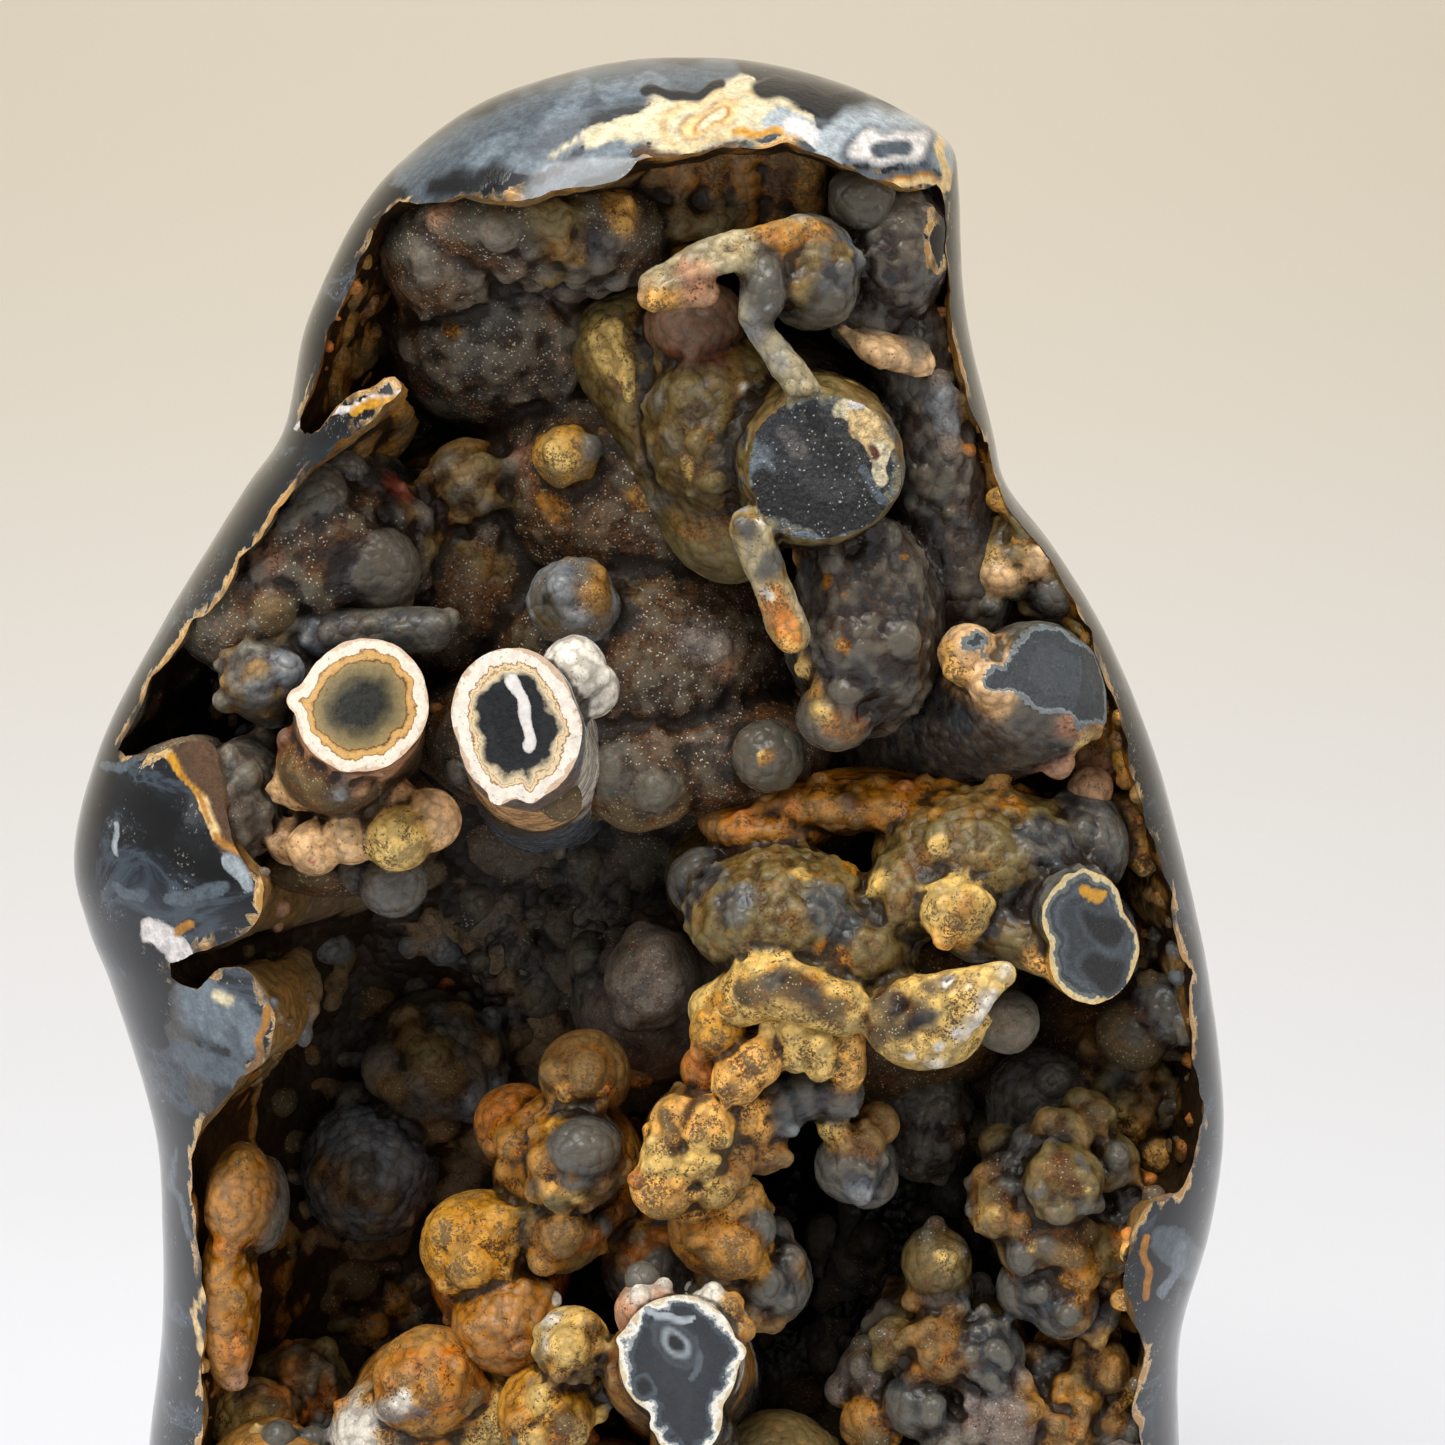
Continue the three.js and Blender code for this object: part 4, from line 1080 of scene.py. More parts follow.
# Edges between rough and polished faces stay sharp, and give the distance of each polished place from them.
def edgeDistance(mesh, co):
    faceKinds = slotsOf(mesh) > 0
    sizes = valuesOf(mesh.polygons, "loop_total", 1, np.int32)
    loopEdges = valuesOf(mesh.loops, "edge_index", 1, np.int32)
    loopKinds = np.repeat(faceKinds, sizes)
    polishedSides = np.bincount(loopEdges[loopKinds], minlength=len(mesh.edges))
    roughSides = np.bincount(loopEdges[~loopKinds], minlength=len(mesh.edges))
    border = (polishedSides > 0) & (roughSides > 0)
    mesh.edges.foreach_set("use_edge_sharp", border)
    away = np.full(len(co), edgeless)
    if border.any():
        ends = valuesOf(mesh.edges, "vertices", 2, np.int32)[border]
        alongEdge = (0, 0.25, 0.5, 0.75)
        marks = np.concatenate([co[ends[:, 0]] * (1 - t) + co[ends[:, 1]] * t for t in alongEdge])
        tree = kdtree.KDTree(len(marks))
        for i, mark in enumerate(marks):
            tree.insert(mark, i)
        tree.balance()
        onPolish = np.unique(valuesOf(mesh.loops, "vertex_index", 1, np.int32)[loopKinds])
        away[onPolish] = [tree.find(co[i])[2] for i in onPolish]
    return away / mm


# Colours and painted sheen on the cut and polished faces of the front, as strokes (u, v, u, v, r, tone).
stainsAndSheen = [
    # painted sheen: the steel and haze strokes of these four lines, across the brow, stand for the
    # reflection of the light from above on the polished top
    (440, 175, 560, 106, 34, "steel"), (560, 96, 720, 74, 22, "steel"), (440, 190, 500, 178, 12, "black"),
    (480, 162, 510, 144, 10, "haze"), (545, 112, 580, 90, 10, "haze"), (400, 176, 420, 150, 8, "steel"),
    (600, 96, 660, 84, 9, "haze"), (545, 186, 640, 150, 12, "steel"), (520, 166, 610, 132, 9, "haze"),
    (560, 146, 610, 130, 3, "ivory"), (600, 140, 660, 120, 14, "ivory"), (596, 158, 650, 140, 8, "haze"),
    (640, 130, 700, 110, 16, "ivory"), (668, 122, 752, 112, 30, "ivory"),
    (680, 120, 735, 113, 22, "yellow"), (682, 120, 733, 113, 20, "ivory"),
    (690, 119, 725, 114, 14, "tan"), (691, 119, 724, 114, 12, "cream"), (699, 118, 716, 116, 8, "ochre"),
    (701, 118, 714, 116, 5.5, "ivory"), (728, 92, 748, 84, 8, "ivory"), (760, 92, 850, 100, 12, "black"),
    (830, 108, 890, 112, 9, "black"), (640, 96, 720, 84, 5, "black"), (745, 114, 800, 128, 15, "ivory"),
    (770, 122, 830, 134, 10, "frost"), (735, 134, 800, 138, 4, "yellow"),
    (790, 130, 850, 138, 9, "pearl"), (845, 133, 942, 146, 27, "frost"),
    (866, 146, 922, 152, 19, "steel"), (870, 146, 918, 152, 15, "pearl"),
    (884, 148, 910, 152, 8, "steel"), (850, 174, 940, 183, 6, "steel"), (860, 188, 945, 187, 5, "cream"),
    (860, 181, 940, 182, 2, "ochre"), (942, 125, 950, 185, 5, "cream"), (930, 124, 948, 134, 4, "ochre"),
    (640, 158, 700, 150, 4, "bark"), (300, 430, 400, 385, 4, "pearl"), (355, 412, 388, 396, 6, "yellow"),
    (215, 765, 250, 835, 34, "bark"), (180, 760, 205, 800, 10, "bark"), (152, 742, 178, 764, 5, "cream"),
    (178, 764, 196, 800, 5, "yellow"), (196, 800, 214, 836, 5, "cream"),
    (186, 780, 206, 822, 2.5, "ochre"), (214, 836, 236, 852, 4, "ochre"),
    (180, 905, 225, 890, 9, "steel"), (225, 860, 250, 880, 8, "frost"), (150, 930, 178, 960, 13, "pearl"),
    (176, 940, 190, 925, 4, "ochre"), (112, 820, 116, 850, 3, "frost"), (120, 880, 150, 895, 6, "steel"),
    (110, 765, 150, 752, 5, "steel"), (200, 1190, 204, 1400, 4, "cream"),
    (180, 1000, 200, 1100, 14, "grey"), (200, 1004, 246, 1030, 26, "haze"),
    (190, 1060, 236, 1076, 16, "steel"), (214, 996, 226, 1000, 6, "ivory"),
    (240, 1036, 244, 1056, 8, "steel"), (266, 1002, 268, 1044, 4, "ochre"),
    (268, 1044, 240, 1086, 4, "tan"), (176, 1160, 186, 1240, 4, "steel"),
    # painted reflection: these two pearl strokes draw a light's reflection as a cream streak across the
    # right twin's core
    (506, 680, 522, 700, 6, "pearl"), (522, 700, 532, 742, 7, "pearl"),
    (1090, 892, 1106, 890, 7, "yellow"), (1100, 924, 1108, 925, 22, "steel"),
    (1100, 924, 1108, 925, 18, "black"), (1096, 966, 1106, 970, 23, "steel"),
    (1096, 966, 1106, 970, 19, "black"), (762, 440, 775, 500, 12, "haze"),
    (775, 430, 800, 460, 22, "charcoal"), (775, 500, 862, 518, 24, "black"),
    (790, 440, 800, 452, 10, "grey"), (765, 480, 775, 496, 9, "black"), (812, 476, 850, 486, 12, "smoke"),
    (838, 440, 846, 462, 9, "black"), (812, 414, 822, 420, 8, "black"), (842, 400, 866, 412, 12, "ivory"),
    (862, 412, 880, 446, 15, "cream"), (882, 446, 886, 478, 8, "ivory"), (850, 398, 862, 404, 6, "pearl"),
    (874, 450, 876, 454, 5, "rust"), (868, 470, 886, 500, 5, "steel"), (790, 536, 860, 532, 4, "haze"),
    (1165, 1240, 1190, 1270, 18, "steel"), (1148, 1194, 1184, 1192, 4, "tan"),
    (1142, 1236, 1144, 1296, 4, "amber"), (1160, 1290, 1180, 1250, 6, "haze"),
    (679, 1338, 679, 1339, 24, "steel"), (679, 1338, 679, 1339, 20, "charcoal"),
    (679, 1338, 679, 1339, 13, "frost"), (679, 1338, 679, 1339, 9, "black"),
    (642, 1391, 642, 1392, 13, "steel"), (642, 1391, 642, 1392, 9, "black"),
    (655, 1316, 700, 1312, 4, "frost"), (690, 1370, 700, 1350, 4, "steel"),
]
stainAndSheenPlan = {
    "warp": ((5, 23, 0.3), (3, 11, 1.1), (1.5, 5, 2.3)),  # dots, dots a turn, phase
    "border": 2.6,  # dots, at least
    "borderShare": 0.5,  # of a stroke's radius
    "turned": 0.1,  # from here on a stroke shows where the skin turns to the front,
    "fade": 0.2,  # and over this it gains its full strength
}
paintPlan = {
    "warp": ((0.9, 2.1), (0.5, 0.8)),  # mm, mm a turn
    "reach": 2.6, "fall": 2.3,
}
creasePlan = {"nearRounds": 4, "nearShare": 0.6, "wideRounds": 26, "wideShare": 0.4}


def stainsAndSheenOn(co, normals):
    u, v = dotsOf(co.astype(float))
    for amount, turn, phase in stainAndSheenPlan["warp"]:
        u, v = u + amount * np.sin(v / turn + phase), v + amount * np.sin(u / turn - phase)
    stainAndSheen, matte = np.zeros((len(co), 4)), np.zeros(len(co))
    facing = np.clip((normals @ -np.array(forward) - stainAndSheenPlan["turned"]) / stainAndSheenPlan["fade"], 0, 1)
    for u0, v0, u1, v1, r, tone in stainsAndSheen:
        along = np.array([u1 - u0, v1 - v0], float)
        away = np.stack([u - u0, v - v0], axis=1)
        t = np.clip(away @ along / max(along @ along, 1), 0, 1)
        far = np.linalg.norm(away - t[:, None] * along, axis=1)
        border = max(r * stainAndSheenPlan["borderShare"], stainAndSheenPlan["border"])
        weight = np.clip((r - far) / border + 0.5, 0, 1) * facing
        stainAndSheen[:, :3] = stainAndSheen[:, :3] * (1 - weight[:, None]) + toneOf(tone)[:3] * weight[:, None]
        stainAndSheen[:, 3] = np.maximum(stainAndSheen[:, 3], weight)
        matte = matte * (1 - weight) + toneOf(tone)[4] * 2 * weight  # drusy tones are matte
    return stainAndSheen, np.clip(matte, 0, 1)


def addAttribute(mesh, name, kind, values):
    layer = mesh.attributes.new(name, kind, "POINT")
    layer.data.foreach_set("value" if kind == "FLOAT" else "color", values.astype(np.float32).ravel())


def trianglesOf(mesh):
    return len(mesh.loops) - 2 * len(mesh.polygons)


def paintMesh(obj, values, paint):
    mesh = obj.data
    co = valuesOf(mesh.vertices, "co", 3)
    normals = valuesOf(mesh.vertex_normals, "vector", 3)
    bent = co.copy()
    for amount, turn in paintPlan["warp"]:
        bent = bent + amount * mm * np.sin(np.roll(bent, 1, axis=1) / (turn * mm) + (0, 1, 2))
    tree = BVHTree.FromObject(obj, bpy.context.evaluated_depsgraph_get())
    for tone, spots in paint.items():
        for u, v, r in spots:
            place = tree.ray_cast(eye, (seen(u, v, 0) - eye).normalized())[0]
            if place is None:
                continue
            far = np.linalg.norm(bent - np.array(place), axis=1) / (r * dotSize(place))
            weight = np.clip(paintPlan["reach"] - far * paintPlan["fall"], 0, 1)[:, None]
            values = values * (1 - weight) + toneOf(tone) * weight
    # How far each place lies in a hollow of the surface, kept in the alpha of tone: the rough finish darkens
    # creases with it (partly dirt, partly painted shade) and lightens bumps a little.
    near = smoothed(mesh, co.astype(float), creasePlan["nearRounds"])
    wide = smoothed(mesh, near, creasePlan["wideRounds"])
    crease = ((near - co) * normals).sum(axis=1) * creasePlan["nearShare"]
    crease = crease + ((wide - co) * normals).sum(axis=1) * creasePlan["wideShare"]
    addAttribute(mesh, "tone", "FLOAT_COLOR", np.column_stack([values[:, :3], crease / mm * 0.5 + 0.5]))
    stainAndSheen, matte = stainsAndSheenOn(co, normals)
    addAttribute(mesh, "stainAndSheen", "FLOAT_COLOR", stainAndSheen)
    addAttribute(mesh, "finish", "FLOAT_COLOR", np.column_stack([values[:, 3:], matte]))
    # The downward share darkens the undersides of the rough forms to slate, partly painted shade; the
    # forward share places the worn crust.
    facing = smoothed(mesh, normals.astype(float), 4) * (0, -1, -1)  # how far it looks forwards, and down
    facing[:, 0] = 0
    addAttribute(mesh, "facing", "FLOAT_COLOR", np.column_stack([facing * 0.5 + 0.5, np.ones(len(co))]))
    addAttribute(mesh, "edge", "FLOAT", edgeDistance(mesh, co))
    mesh.shade_smooth()
    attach(obj, "root")
    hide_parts("agate")
    print(obj.name, trianglesOf(mesh), "triangles")


cutMaterials = {name: bpy.data.materials.new(name) for name in (
    "twinLeft", "twinRight", "darkCrystal", "matteFacet", "blackCore", "peachCut", "starCore",
)}
facetFit = {"slant": 0.93, "slack": 0.6}  # least cosine with the way a facet faces, mm off its plane


# Slots: rough stone first, polished skin next, then the cuts. Faces that the skin cut get the cut they
# lie in, and the flat faces of a facet get the first cut.
def chooseMaterials(obj, cuts, facets=()):
    mesh = obj.data
    names = [material.name for material in mesh.materials]
    index = (slotsOf(mesh) == names.index(polished.name)).astype(np.int32)
    centres = valuesOf(mesh.polygons, "center", 3)
    u, v = dotsOf(centres.astype(float))
    styles = list(dict.fromkeys(style for *_, style in cuts))
    for cu, cv, r, style in reversed(cuts):
        near = (index > 0) & ((u - cu) ** 2 + (v - cv) ** 2 < r * r) & (centres[:, 1] < 0)
        index[near] = 2 + styles.index(style)
    for middle, way, far, reach in facets if styles else ():
        out = np.array(way) / np.linalg.norm(way)
        away = centres - np.array(seen(*middle))
        flat = valuesOf(mesh.polygons, "normal", 3) @ out > facetFit["slant"]
        near = np.abs(away @ out - far * mm) < facetFit["slack"] * mm
        index[flat & near & (np.linalg.norm(away, axis=1) < reach * mm)] = 2
    mesh.materials.clear()
    for material in (rough, polished, *(cutMaterials[style] for style in styles)):
        mesh.materials.append(material)
    mesh.polygons.foreach_set("material_index", index)
    mesh.update()


# Finer faces where rings, stains and painted sheen are drawn.
def subdivideFaces(obj, chosen, cuts):
    activate(obj)
    bpy.ops.object.mode_set(mode="EDIT")
    bpy.ops.mesh.select_mode(type="FACE")
    bpy.ops.mesh.select_all(action="DESELECT")
    bpy.ops.object.mode_set(mode="OBJECT")
    obj.data.polygons.foreach_set("select", chosen)
    bpy.ops.object.mode_set(mode="EDIT")
    bpy.ops.mesh.quads_convert_to_tris()
    bpy.ops.mesh.subdivide(number_cuts=cuts)
    bpy.ops.object.mode_set(mode="OBJECT")


# What stands out past a plane near the middle of a form is pressed flat on the plane.
def flatten(obj, middle, way, far, reach):
    co = valuesOf(obj.data.vertices, "co", 3)
    out = np.array(way) / np.linalg.norm(way)
    away = co - np.array(seen(*middle))
    past = away @ out - far * mm
    near = (past > 0) & (np.linalg.norm(away, axis=1) < reach * mm)
    co[near] -= past[near, None] * out
    setPlaces(obj.data, co)


def finishGrowth(plan, parts):
    tree, index = tonesOfParts(parts)
    body = joined([part for part, _ in parts], plan["name"])
    applyModifier(body, "REMESH", mode="VOXEL", voxel_size=plan["voxel"] * mm)
    applyModifier(body, "SMOOTH", factor=0.5, iterations=2)
    displaced(body, swell, plan["swell"], 0.5)
    for facet in plan.get("facets", []):
        flatten(body, *facet)
    for size, strength in plan["cobble"]:
        displaced(body, cells[size], -strength)
    body.data.materials.clear()
    body.data.materials.append(rough)
    inner = drawnIn(plan["inset"])
    applyModifier(body, "BOOLEAN", operation="INTERSECT", solver="MANIFOLD", object=inner,
                  material_mode="TRANSFER")
    remove(inner)
    if polished.name not in body.data.materials:
        body.data.materials.append(polished)
    chooseMaterials(body, plan.get("cuts", []), plan.get("facets", []))
    if plan.get("cuts"):
        subdivideFaces(body, slotsOf(body.data) > 1, 2)
    co = valuesOf(body.data.vertices, "co", 3)
    values = toneValues[index[[tree.find(place)[1] for place in co]]]
    paintMesh(body, smoothed(body.data, values, 3), plan.get("paint", {}))


draw = np.random.default_rng(12)
for plan in growths:
    growLumps(plan, started[plan["name"]], draw)
for plan in growths:
    finishGrowth(plan, started[plan["name"]])

wallPlan = {
    "fields": [
        (262, 600, -10, (30, 40, 26), "dusk"), (345, 330, 0, (20, 40, 26), "ochre"),
        (740, 190, -20, (34, 40, 16), "ochre"), (970, 420, -10, (12, 40, 40), "ochre"),
        (1100, 680, -10, (14, 40, 34), "ochre"), (1170, 1050, -10, (14, 40, 34), "tan"),
        (215, 1330, -20, (10, 40, 34), "ochre"), (430, 1060, 30, (44, 26, 46), "clay"),
        (560, 930, 30, (40, 20, 20), "grey"), (800, 1240, 30, (20, 20, 40), "black"),
        (600, 600, 30, (60, 10, 60), "druse"), (650, 1500, 20, (80, 60, 26), "umber"),
        (1060, 1300, 20, (24, 40, 40), "umber"), (190, 1020, -40, (10, 20, 22), "tan"),
        (850, 800, 0, (40, 30, 9), "ochre"),
    ],
    "blend": 2.5,  # mm
    "paint": {
        "ochre": [(210, 1290, 30), (340, 400, 20), (950, 340, 20), (262, 1000, 12)],
        "bluegrey": [(235, 1020, 26), (215, 1050, 18)],
        "bark": [(300, 1100, 40)], "umber": [(240, 650, 26)],
        "cream": [(208, 1000, 8), (1100, 690, 8), (960, 330, 8)],
    },
}
stainAndSheenBoxes = [  # left, top, right, bottom, cuts
    (590, 70, 965, 215, 1), (90, 730, 290, 1080, 2), (1135, 1180, 1215, 1310, 2), (290, 375, 410, 445, 2),
]
roughKept = 0.53  # share of the wall's triangles left once its rough side is thinned


# Only places with no polished face around them are thinned.
def thinRough(obj, share):
    mesh = obj.data
    corners = valuesOf(mesh.loops, "vertex_index", 1, np.int32)
    kinds = np.repeat(slotsOf(mesh), valuesOf(mesh.polygons, "loop_total", 1, np.int32))
    group = obj.vertex_groups.new(name="rough")
    group.add(np.setdiff1d(corners[kinds == 0], corners[kinds == 1]).tolist(), 1.0, "REPLACE")
    applyModifier(obj, "DECIMATE", ratio=share, vertex_group=group.name)
    obj.vertex_groups.clear()


def facesInBox(mesh, left, top, right, bottom):
    u, v = dotsOf(valuesOf(mesh.polygons, "center", 3).astype(float))
    chosen = (u > left) & (u < right) & (v > top) & (v < bottom) & (slotsOf(mesh) == 1)
    return chosen & (valuesOf(mesh.polygons, "normal", 3) @ -np.array(forward) > 0)


chooseMaterials(wall, [])
thinRough(wall, roughKept)
for *box, cuts in stainAndSheenBoxes:
    subdivideFaces(wall, facesInBox(wall.data, *box), cuts)
wallPlaces = valuesOf(wall.data.vertices, "co", 3)
paintMesh(wall, tonesOfFields(wallPlan["fields"], wallPlaces, wallPlan["blend"]), wallPlan["paint"])
for spare in [skin, hollow, *seeds.values()]:
    remove(spare)


def nodeIn(tree, kind, inputs=None, **settings):
    node = tree.nodes.new(kind)
    for key, value in settings.items():
        setattr(node, key, value)
    for key, value in (inputs or {}).items():
        if isinstance(value, bpy.types.NodeSocket):
            tree.links.new(value, node.inputs[key])
        else:
            node.inputs[key].default_value = value
    return node


# Short ways to add nodes to one material.
def toolsFor(material):
    material.use_nodes = True
    tree = material.node_tree
    tree.nodes.clear()
    coord = tree.nodes.new("ShaderNodeTexCoord").outputs["Object"]

    def calc(operation, a, b=0.0):
        return nodeIn(tree, "ShaderNodeMath", {0: a, 1: b}, operation=operation).outputs[0]

    def plus(a, b):
        return calc("ADD", a, b)

    def minus(a, b):
        return calc("SUBTRACT", a, b)

    def times(a, b):
        return calc("MULTIPLY", a, b)

    def mix(factor, a, b, blend="MIX"):
        node = nodeIn(tree, "ShaderNodeMix", {0: factor}, data_type="RGBA", blend_type=blend)
        for socket, value in ((node.inputs[6], a), (node.inputs[7], b)):
            if isinstance(value, bpy.types.NodeSocket):
                tree.links.new(value, socket)
            else:
                socket.default_value = (*linear(value), 1)
        return node.outputs[2]

    def noise(size, detail=3.0, vector=None, distortion=0.0):
        return nodeIn(tree, "ShaderNodeTexNoise", {
            "Vector": vector or coord, "Scale": 1 / (size * mm), "Detail": detail, "Roughness": 0.6,
            "Distortion": distortion,
        }).outputs["Fac"]

    def grains(size):
        node = nodeIn(tree, "ShaderNodeTexVoronoi", {"Vector": coord, "Scale": 1 / (size * mm)})
        return nodeIn(tree, "ShaderNodeSeparateColor", {0: node.outputs["Color"]}).outputs[0]

    def bumps(size):
        return nodeIn(tree, "ShaderNodeTexVoronoi", {
            "Vector": coord, "Scale": 1 / (size * mm), "Smoothness": 0.2,
        }, feature="SMOOTH_F1").outputs["Distance"]

    def between(value, low, high, outLow=0.0, outHigh=1.0):
        return nodeIn(tree, "ShaderNodeMapRange", {
            0: value, 1: low, 2: high, 3: outLow, 4: outHigh,
        }, interpolation_type="SMOOTHSTEP").outputs[0]

    def attribute(name, output="Color"):
        return nodeIn(tree, "ShaderNodeAttribute", attribute_name=name).outputs[output]

    def split(name):
        return nodeIn(tree, "ShaderNodeSeparateColor", {0: attribute(name)}).outputs[:3]

    def timesGrey(colour, level):
        grey = nodeIn(tree, "ShaderNodeCombineColor", {0: level, 1: level, 2: level}).outputs[0]
        return mix(1.0, colour, grey, "MULTIPLY")

    def ramp(value, stops):
        node = nodeIn(tree, "ShaderNodeValToRGB", {0: value})
        elements = node.color_ramp.elements
        for i, (position, colour) in enumerate(stops):
            element = elements[i] if i < 2 else elements.new(position)
            element.position = position
            element.color = (*linear(colour), 1)
        return node.outputs[0]

    def finish(colour, roughness, height, depth, **sockets):
        bump = nodeIn(tree, "ShaderNodeBump", {"Height": height, "Distance": depth * mm, "Strength": 1.0})
        shader = nodeIn(tree, "ShaderNodeBsdfPrincipled", {
            "Base Color": colour, "Roughness": roughness, "Normal": bump.outputs[0], **sockets,
        })
        output = tree.nodes.new("ShaderNodeOutputMaterial")
        tree.links.new(shader.outputs[0], output.inputs[0])

    return SimpleNamespace(
        tree=tree, coord=coord, calc=calc, plus=plus, minus=minus, times=times, mix=mix, noise=noise,
        grains=grains, bumps=bumps, between=between, attribute=attribute, split=split,
        timesGrey=timesGrey, ramp=ramp, finish=finish,
    )


def makeRough():
    t = toolsFor(rough)
    tone, shade = t.attribute("tone"), t.attribute("tone", "Alpha")
    pepper, druse, gloss = t.split("finish")
    _, front, under = t.split("facing")
    big, mid, fine, tiny = t.noise(8, 4), t.noise(1.5, 5), t.noise(0.4, 4), t.noise(0.5, 2)
    grain, glintAndSpeckCells, bump = t.grains(0.3), t.grains(0.22), t.bumps(1.8)
    plain = t.minus(1.0, druse)
    # soft ochre patches on the peppered tones, dark slate on their downward-facing sides (partly the stone's
    # own slate, partly painted shade), brown and rust on the druse
    dither = t.between(tiny, 0.3, 0.7, -0.1, 0.1)
    patch = t.plus(t.noise(5, 5, distortion=0.5), dither)
    patch = t.times(t.between(patch, 0.5, 0.62), t.times(pepper, 0.75))
    colour = t.mix(patch, tone, (172, 104, 16))
    # painted shade over the stone's own slate: the downward-facing sides of peppered forms darken to slate
    slateUnderAndShade = t.plus(under, t.between(t.plus(t.noise(6, 5), dither), 0.3, 0.7, -0.4, 0.35))
    slateUnderAndShade = t.times(t.between(slateUnderAndShade, 0.62, 0.86), t.times(pepper, 1.2))
    colour = t.mix(slateUnderAndShade, colour, (66, 70, 74))
    stained = t.times(t.between(t.plus(t.noise(10, 6), dither), 0.5, 0.6), t.times(druse, 0.6))
    colour = t.mix(stained, colour, (112, 68, 28))
    level = t.times(t.between(big, 0.3, 0.7, 0.82, 1.12), t.between(mid, 0.3, 0.7, 0.86, 1.12))
    level = t.times(level, t.between(fine, 0.3, 0.7, 0.84, 1.12))
    colour = t.timesGrey(colour, level)
    # worn brown crust with fine specks where a form looks forwards
    worn = t.plus(front, t.between(t.noise(3.6, 6), 0.3, 0.7, -0.5, 0.28))
    worn = t.times(t.between(t.plus(worn, dither), 0.84, 0.96), t.times(pepper, 1.7))
    specks = t.between(t.minus(t.times(worn, t.between(tiny, 0.4, 0.6, 0.35, 1.0)), grain), -0.05, 0.1)
    colour = t.mix(t.times(specks, 0.85), colour, (84, 46, 15))
    loose = t.times(t.between(t.noise(2.4, 5), 0.48, 0.62, 0.0, 0.5), pepper)
    loose = t.between(t.minus(loose, glintAndSpeckCells), -0.02, 0.02)
    colour = t.mix(t.times(loose, 0.85), colour, (66, 36, 12))
    # sugary crystals, and painted glints: white specks that stand for light caught on crystal faces
    crystals = t.timesGrey(colour, t.between(grain, 0, 1, 0.4, 1.65))
    colour = t.mix(t.times(druse, 0.9), colour, crystals)
    paintedGlint = t.times(t.calc("GREATER_THAN", glintAndSpeckCells, 0.965), t.between(druse, 0.2, 0.6, 0.0, 0.8))
    colour = t.mix(paintedGlint, colour, (206, 200, 190))
    # painted shade in the grooves between the small bumps; the deep creases darken too, partly dirt and
    # partly painted shade
    grooveShade = t.times(t.between(bump, 0.42, 0.66), t.times(plain, 0.4))
    colour = t.mix(grooveShade, colour, (48, 32, 16))
    colour = t.mix(t.between(shade, 0.505, 0.62, 0.0, 0.9), colour, (26, 17, 9))
    # convex places screened a little lighter: partly worn tops, partly painted light
    wornAndLitBumps = t.mix(1.0, colour, (250, 240, 216), "SCREEN")
    colour = t.mix(t.between(shade, 0.48, 0.34, 0.0, 0.08), colour, wornAndLitBumps)
    colour = t.mix(t.between(pepper, 0.05, 0.4, 0.25, 1.0), colour, (254, 245, 194), "MULTIPLY")
    rest = t.plus(t.between(gloss, 0, 1, 0.64, 0.14), t.between(mid, 0.3, 0.7, -0.05, 0.1))
    roughness = t.minus(rest, t.times(paintedGlint, 0.3))
    swelling = t.times(t.times(bump, bump), t.between(druse, 0.1, 0.8, -0.5, -0.12))
    height = t.plus(swelling, t.times(mid, 0.1))
    height = t.plus(height, t.times(fine, 0.06))
    height = t.minus(height, t.times(specks, 0.06))
    height = t.plus(height, t.times(grain, t.times(druse, 0.2)))
    t.finish(colour, roughness, height, 1.0, **{"Specular IOR Level": 0.34})


def makePolished():
    t = toolsFor(polished)
    slanted = nodeIn(t.tree, "ShaderNodeMapping", {
        "Vector": t.coord, "Rotation": (0.2, 0.5, 0.1), "Scale": (0.45, 0.8, 1.3),
    }).outputs[0]
    colour = t.ramp(t.noise(14, 6, slanted, 0.7), [
        (0.32, (9, 10, 11)), (0.5, (15, 17, 20)), (0.57, (26, 30, 35)), (0.62, (62, 72, 82)),
        (0.66, (32, 37, 44)), (0.76, (17, 20, 24)), (0.86, (76, 82, 84)),
    ])
    pits = t.times(t.between(t.noise(0.6, 4), 0.6, 0.66), t.between(t.noise(9, 3), 0.5, 0.6))
    colour = t.mix(t.times(pits, 0.7), colour, (156, 150, 136))
    waves = t.between(t.noise(6, 6, distortion=1.2), 0.25, 0.75, -1.9, 1.7)
    wavy = t.plus(t.attribute("edge", "Fac"), waves)
    band = t.ramp(t.calc("DIVIDE", wavy, 5.0), [
        (0.0, (176, 132, 72)), (0.08, (216, 188, 134)), (0.15, (158, 100, 40)), (0.21, (222, 204, 166)),
        (0.27, (134, 108, 70)), (0.33, (148, 146, 134)), (0.44, (56, 62, 68)),
    ])
    banded = t.times(t.between(wavy, 1.5, 0.8), t.between(t.noise(14, 4), 0.44, 0.58, 0.0, 1.0))
    colour = t.mix(banded, colour, band)
    amount = t.plus(t.attribute("stainAndSheen", "Alpha"), t.between(t.noise(1.4, 6), 0.25, 0.75, -0.3, 0.25))
    amount = t.between(amount, 0.3, 0.7)
    matte = t.times(t.attribute("finish", "Alpha"), amount)
    level = t.between(t.noise(1.6, 6), 0.3, 0.7, 0.66, 1.14)
    level = t.times(level, t.between(t.noise(0.5, 3), 0.3, 0.7, 0.8, 1.1))
    colour = t.mix(amount, colour, t.timesGrey(t.attribute("stainAndSheen"), level))
    roughness = t.plus(t.between(t.noise(5), 0.3, 0.7, 0.08, 0.18), t.times(matte, 0.55))
    height = t.times(t.noise(0.9, 6), t.times(matte, 0.6))
    height = t.plus(t.times(t.noise(3, 2), 0.02), height)
    t.finish(colour, roughness, height, 1.0, **{"Specular IOR Level": 0.4})


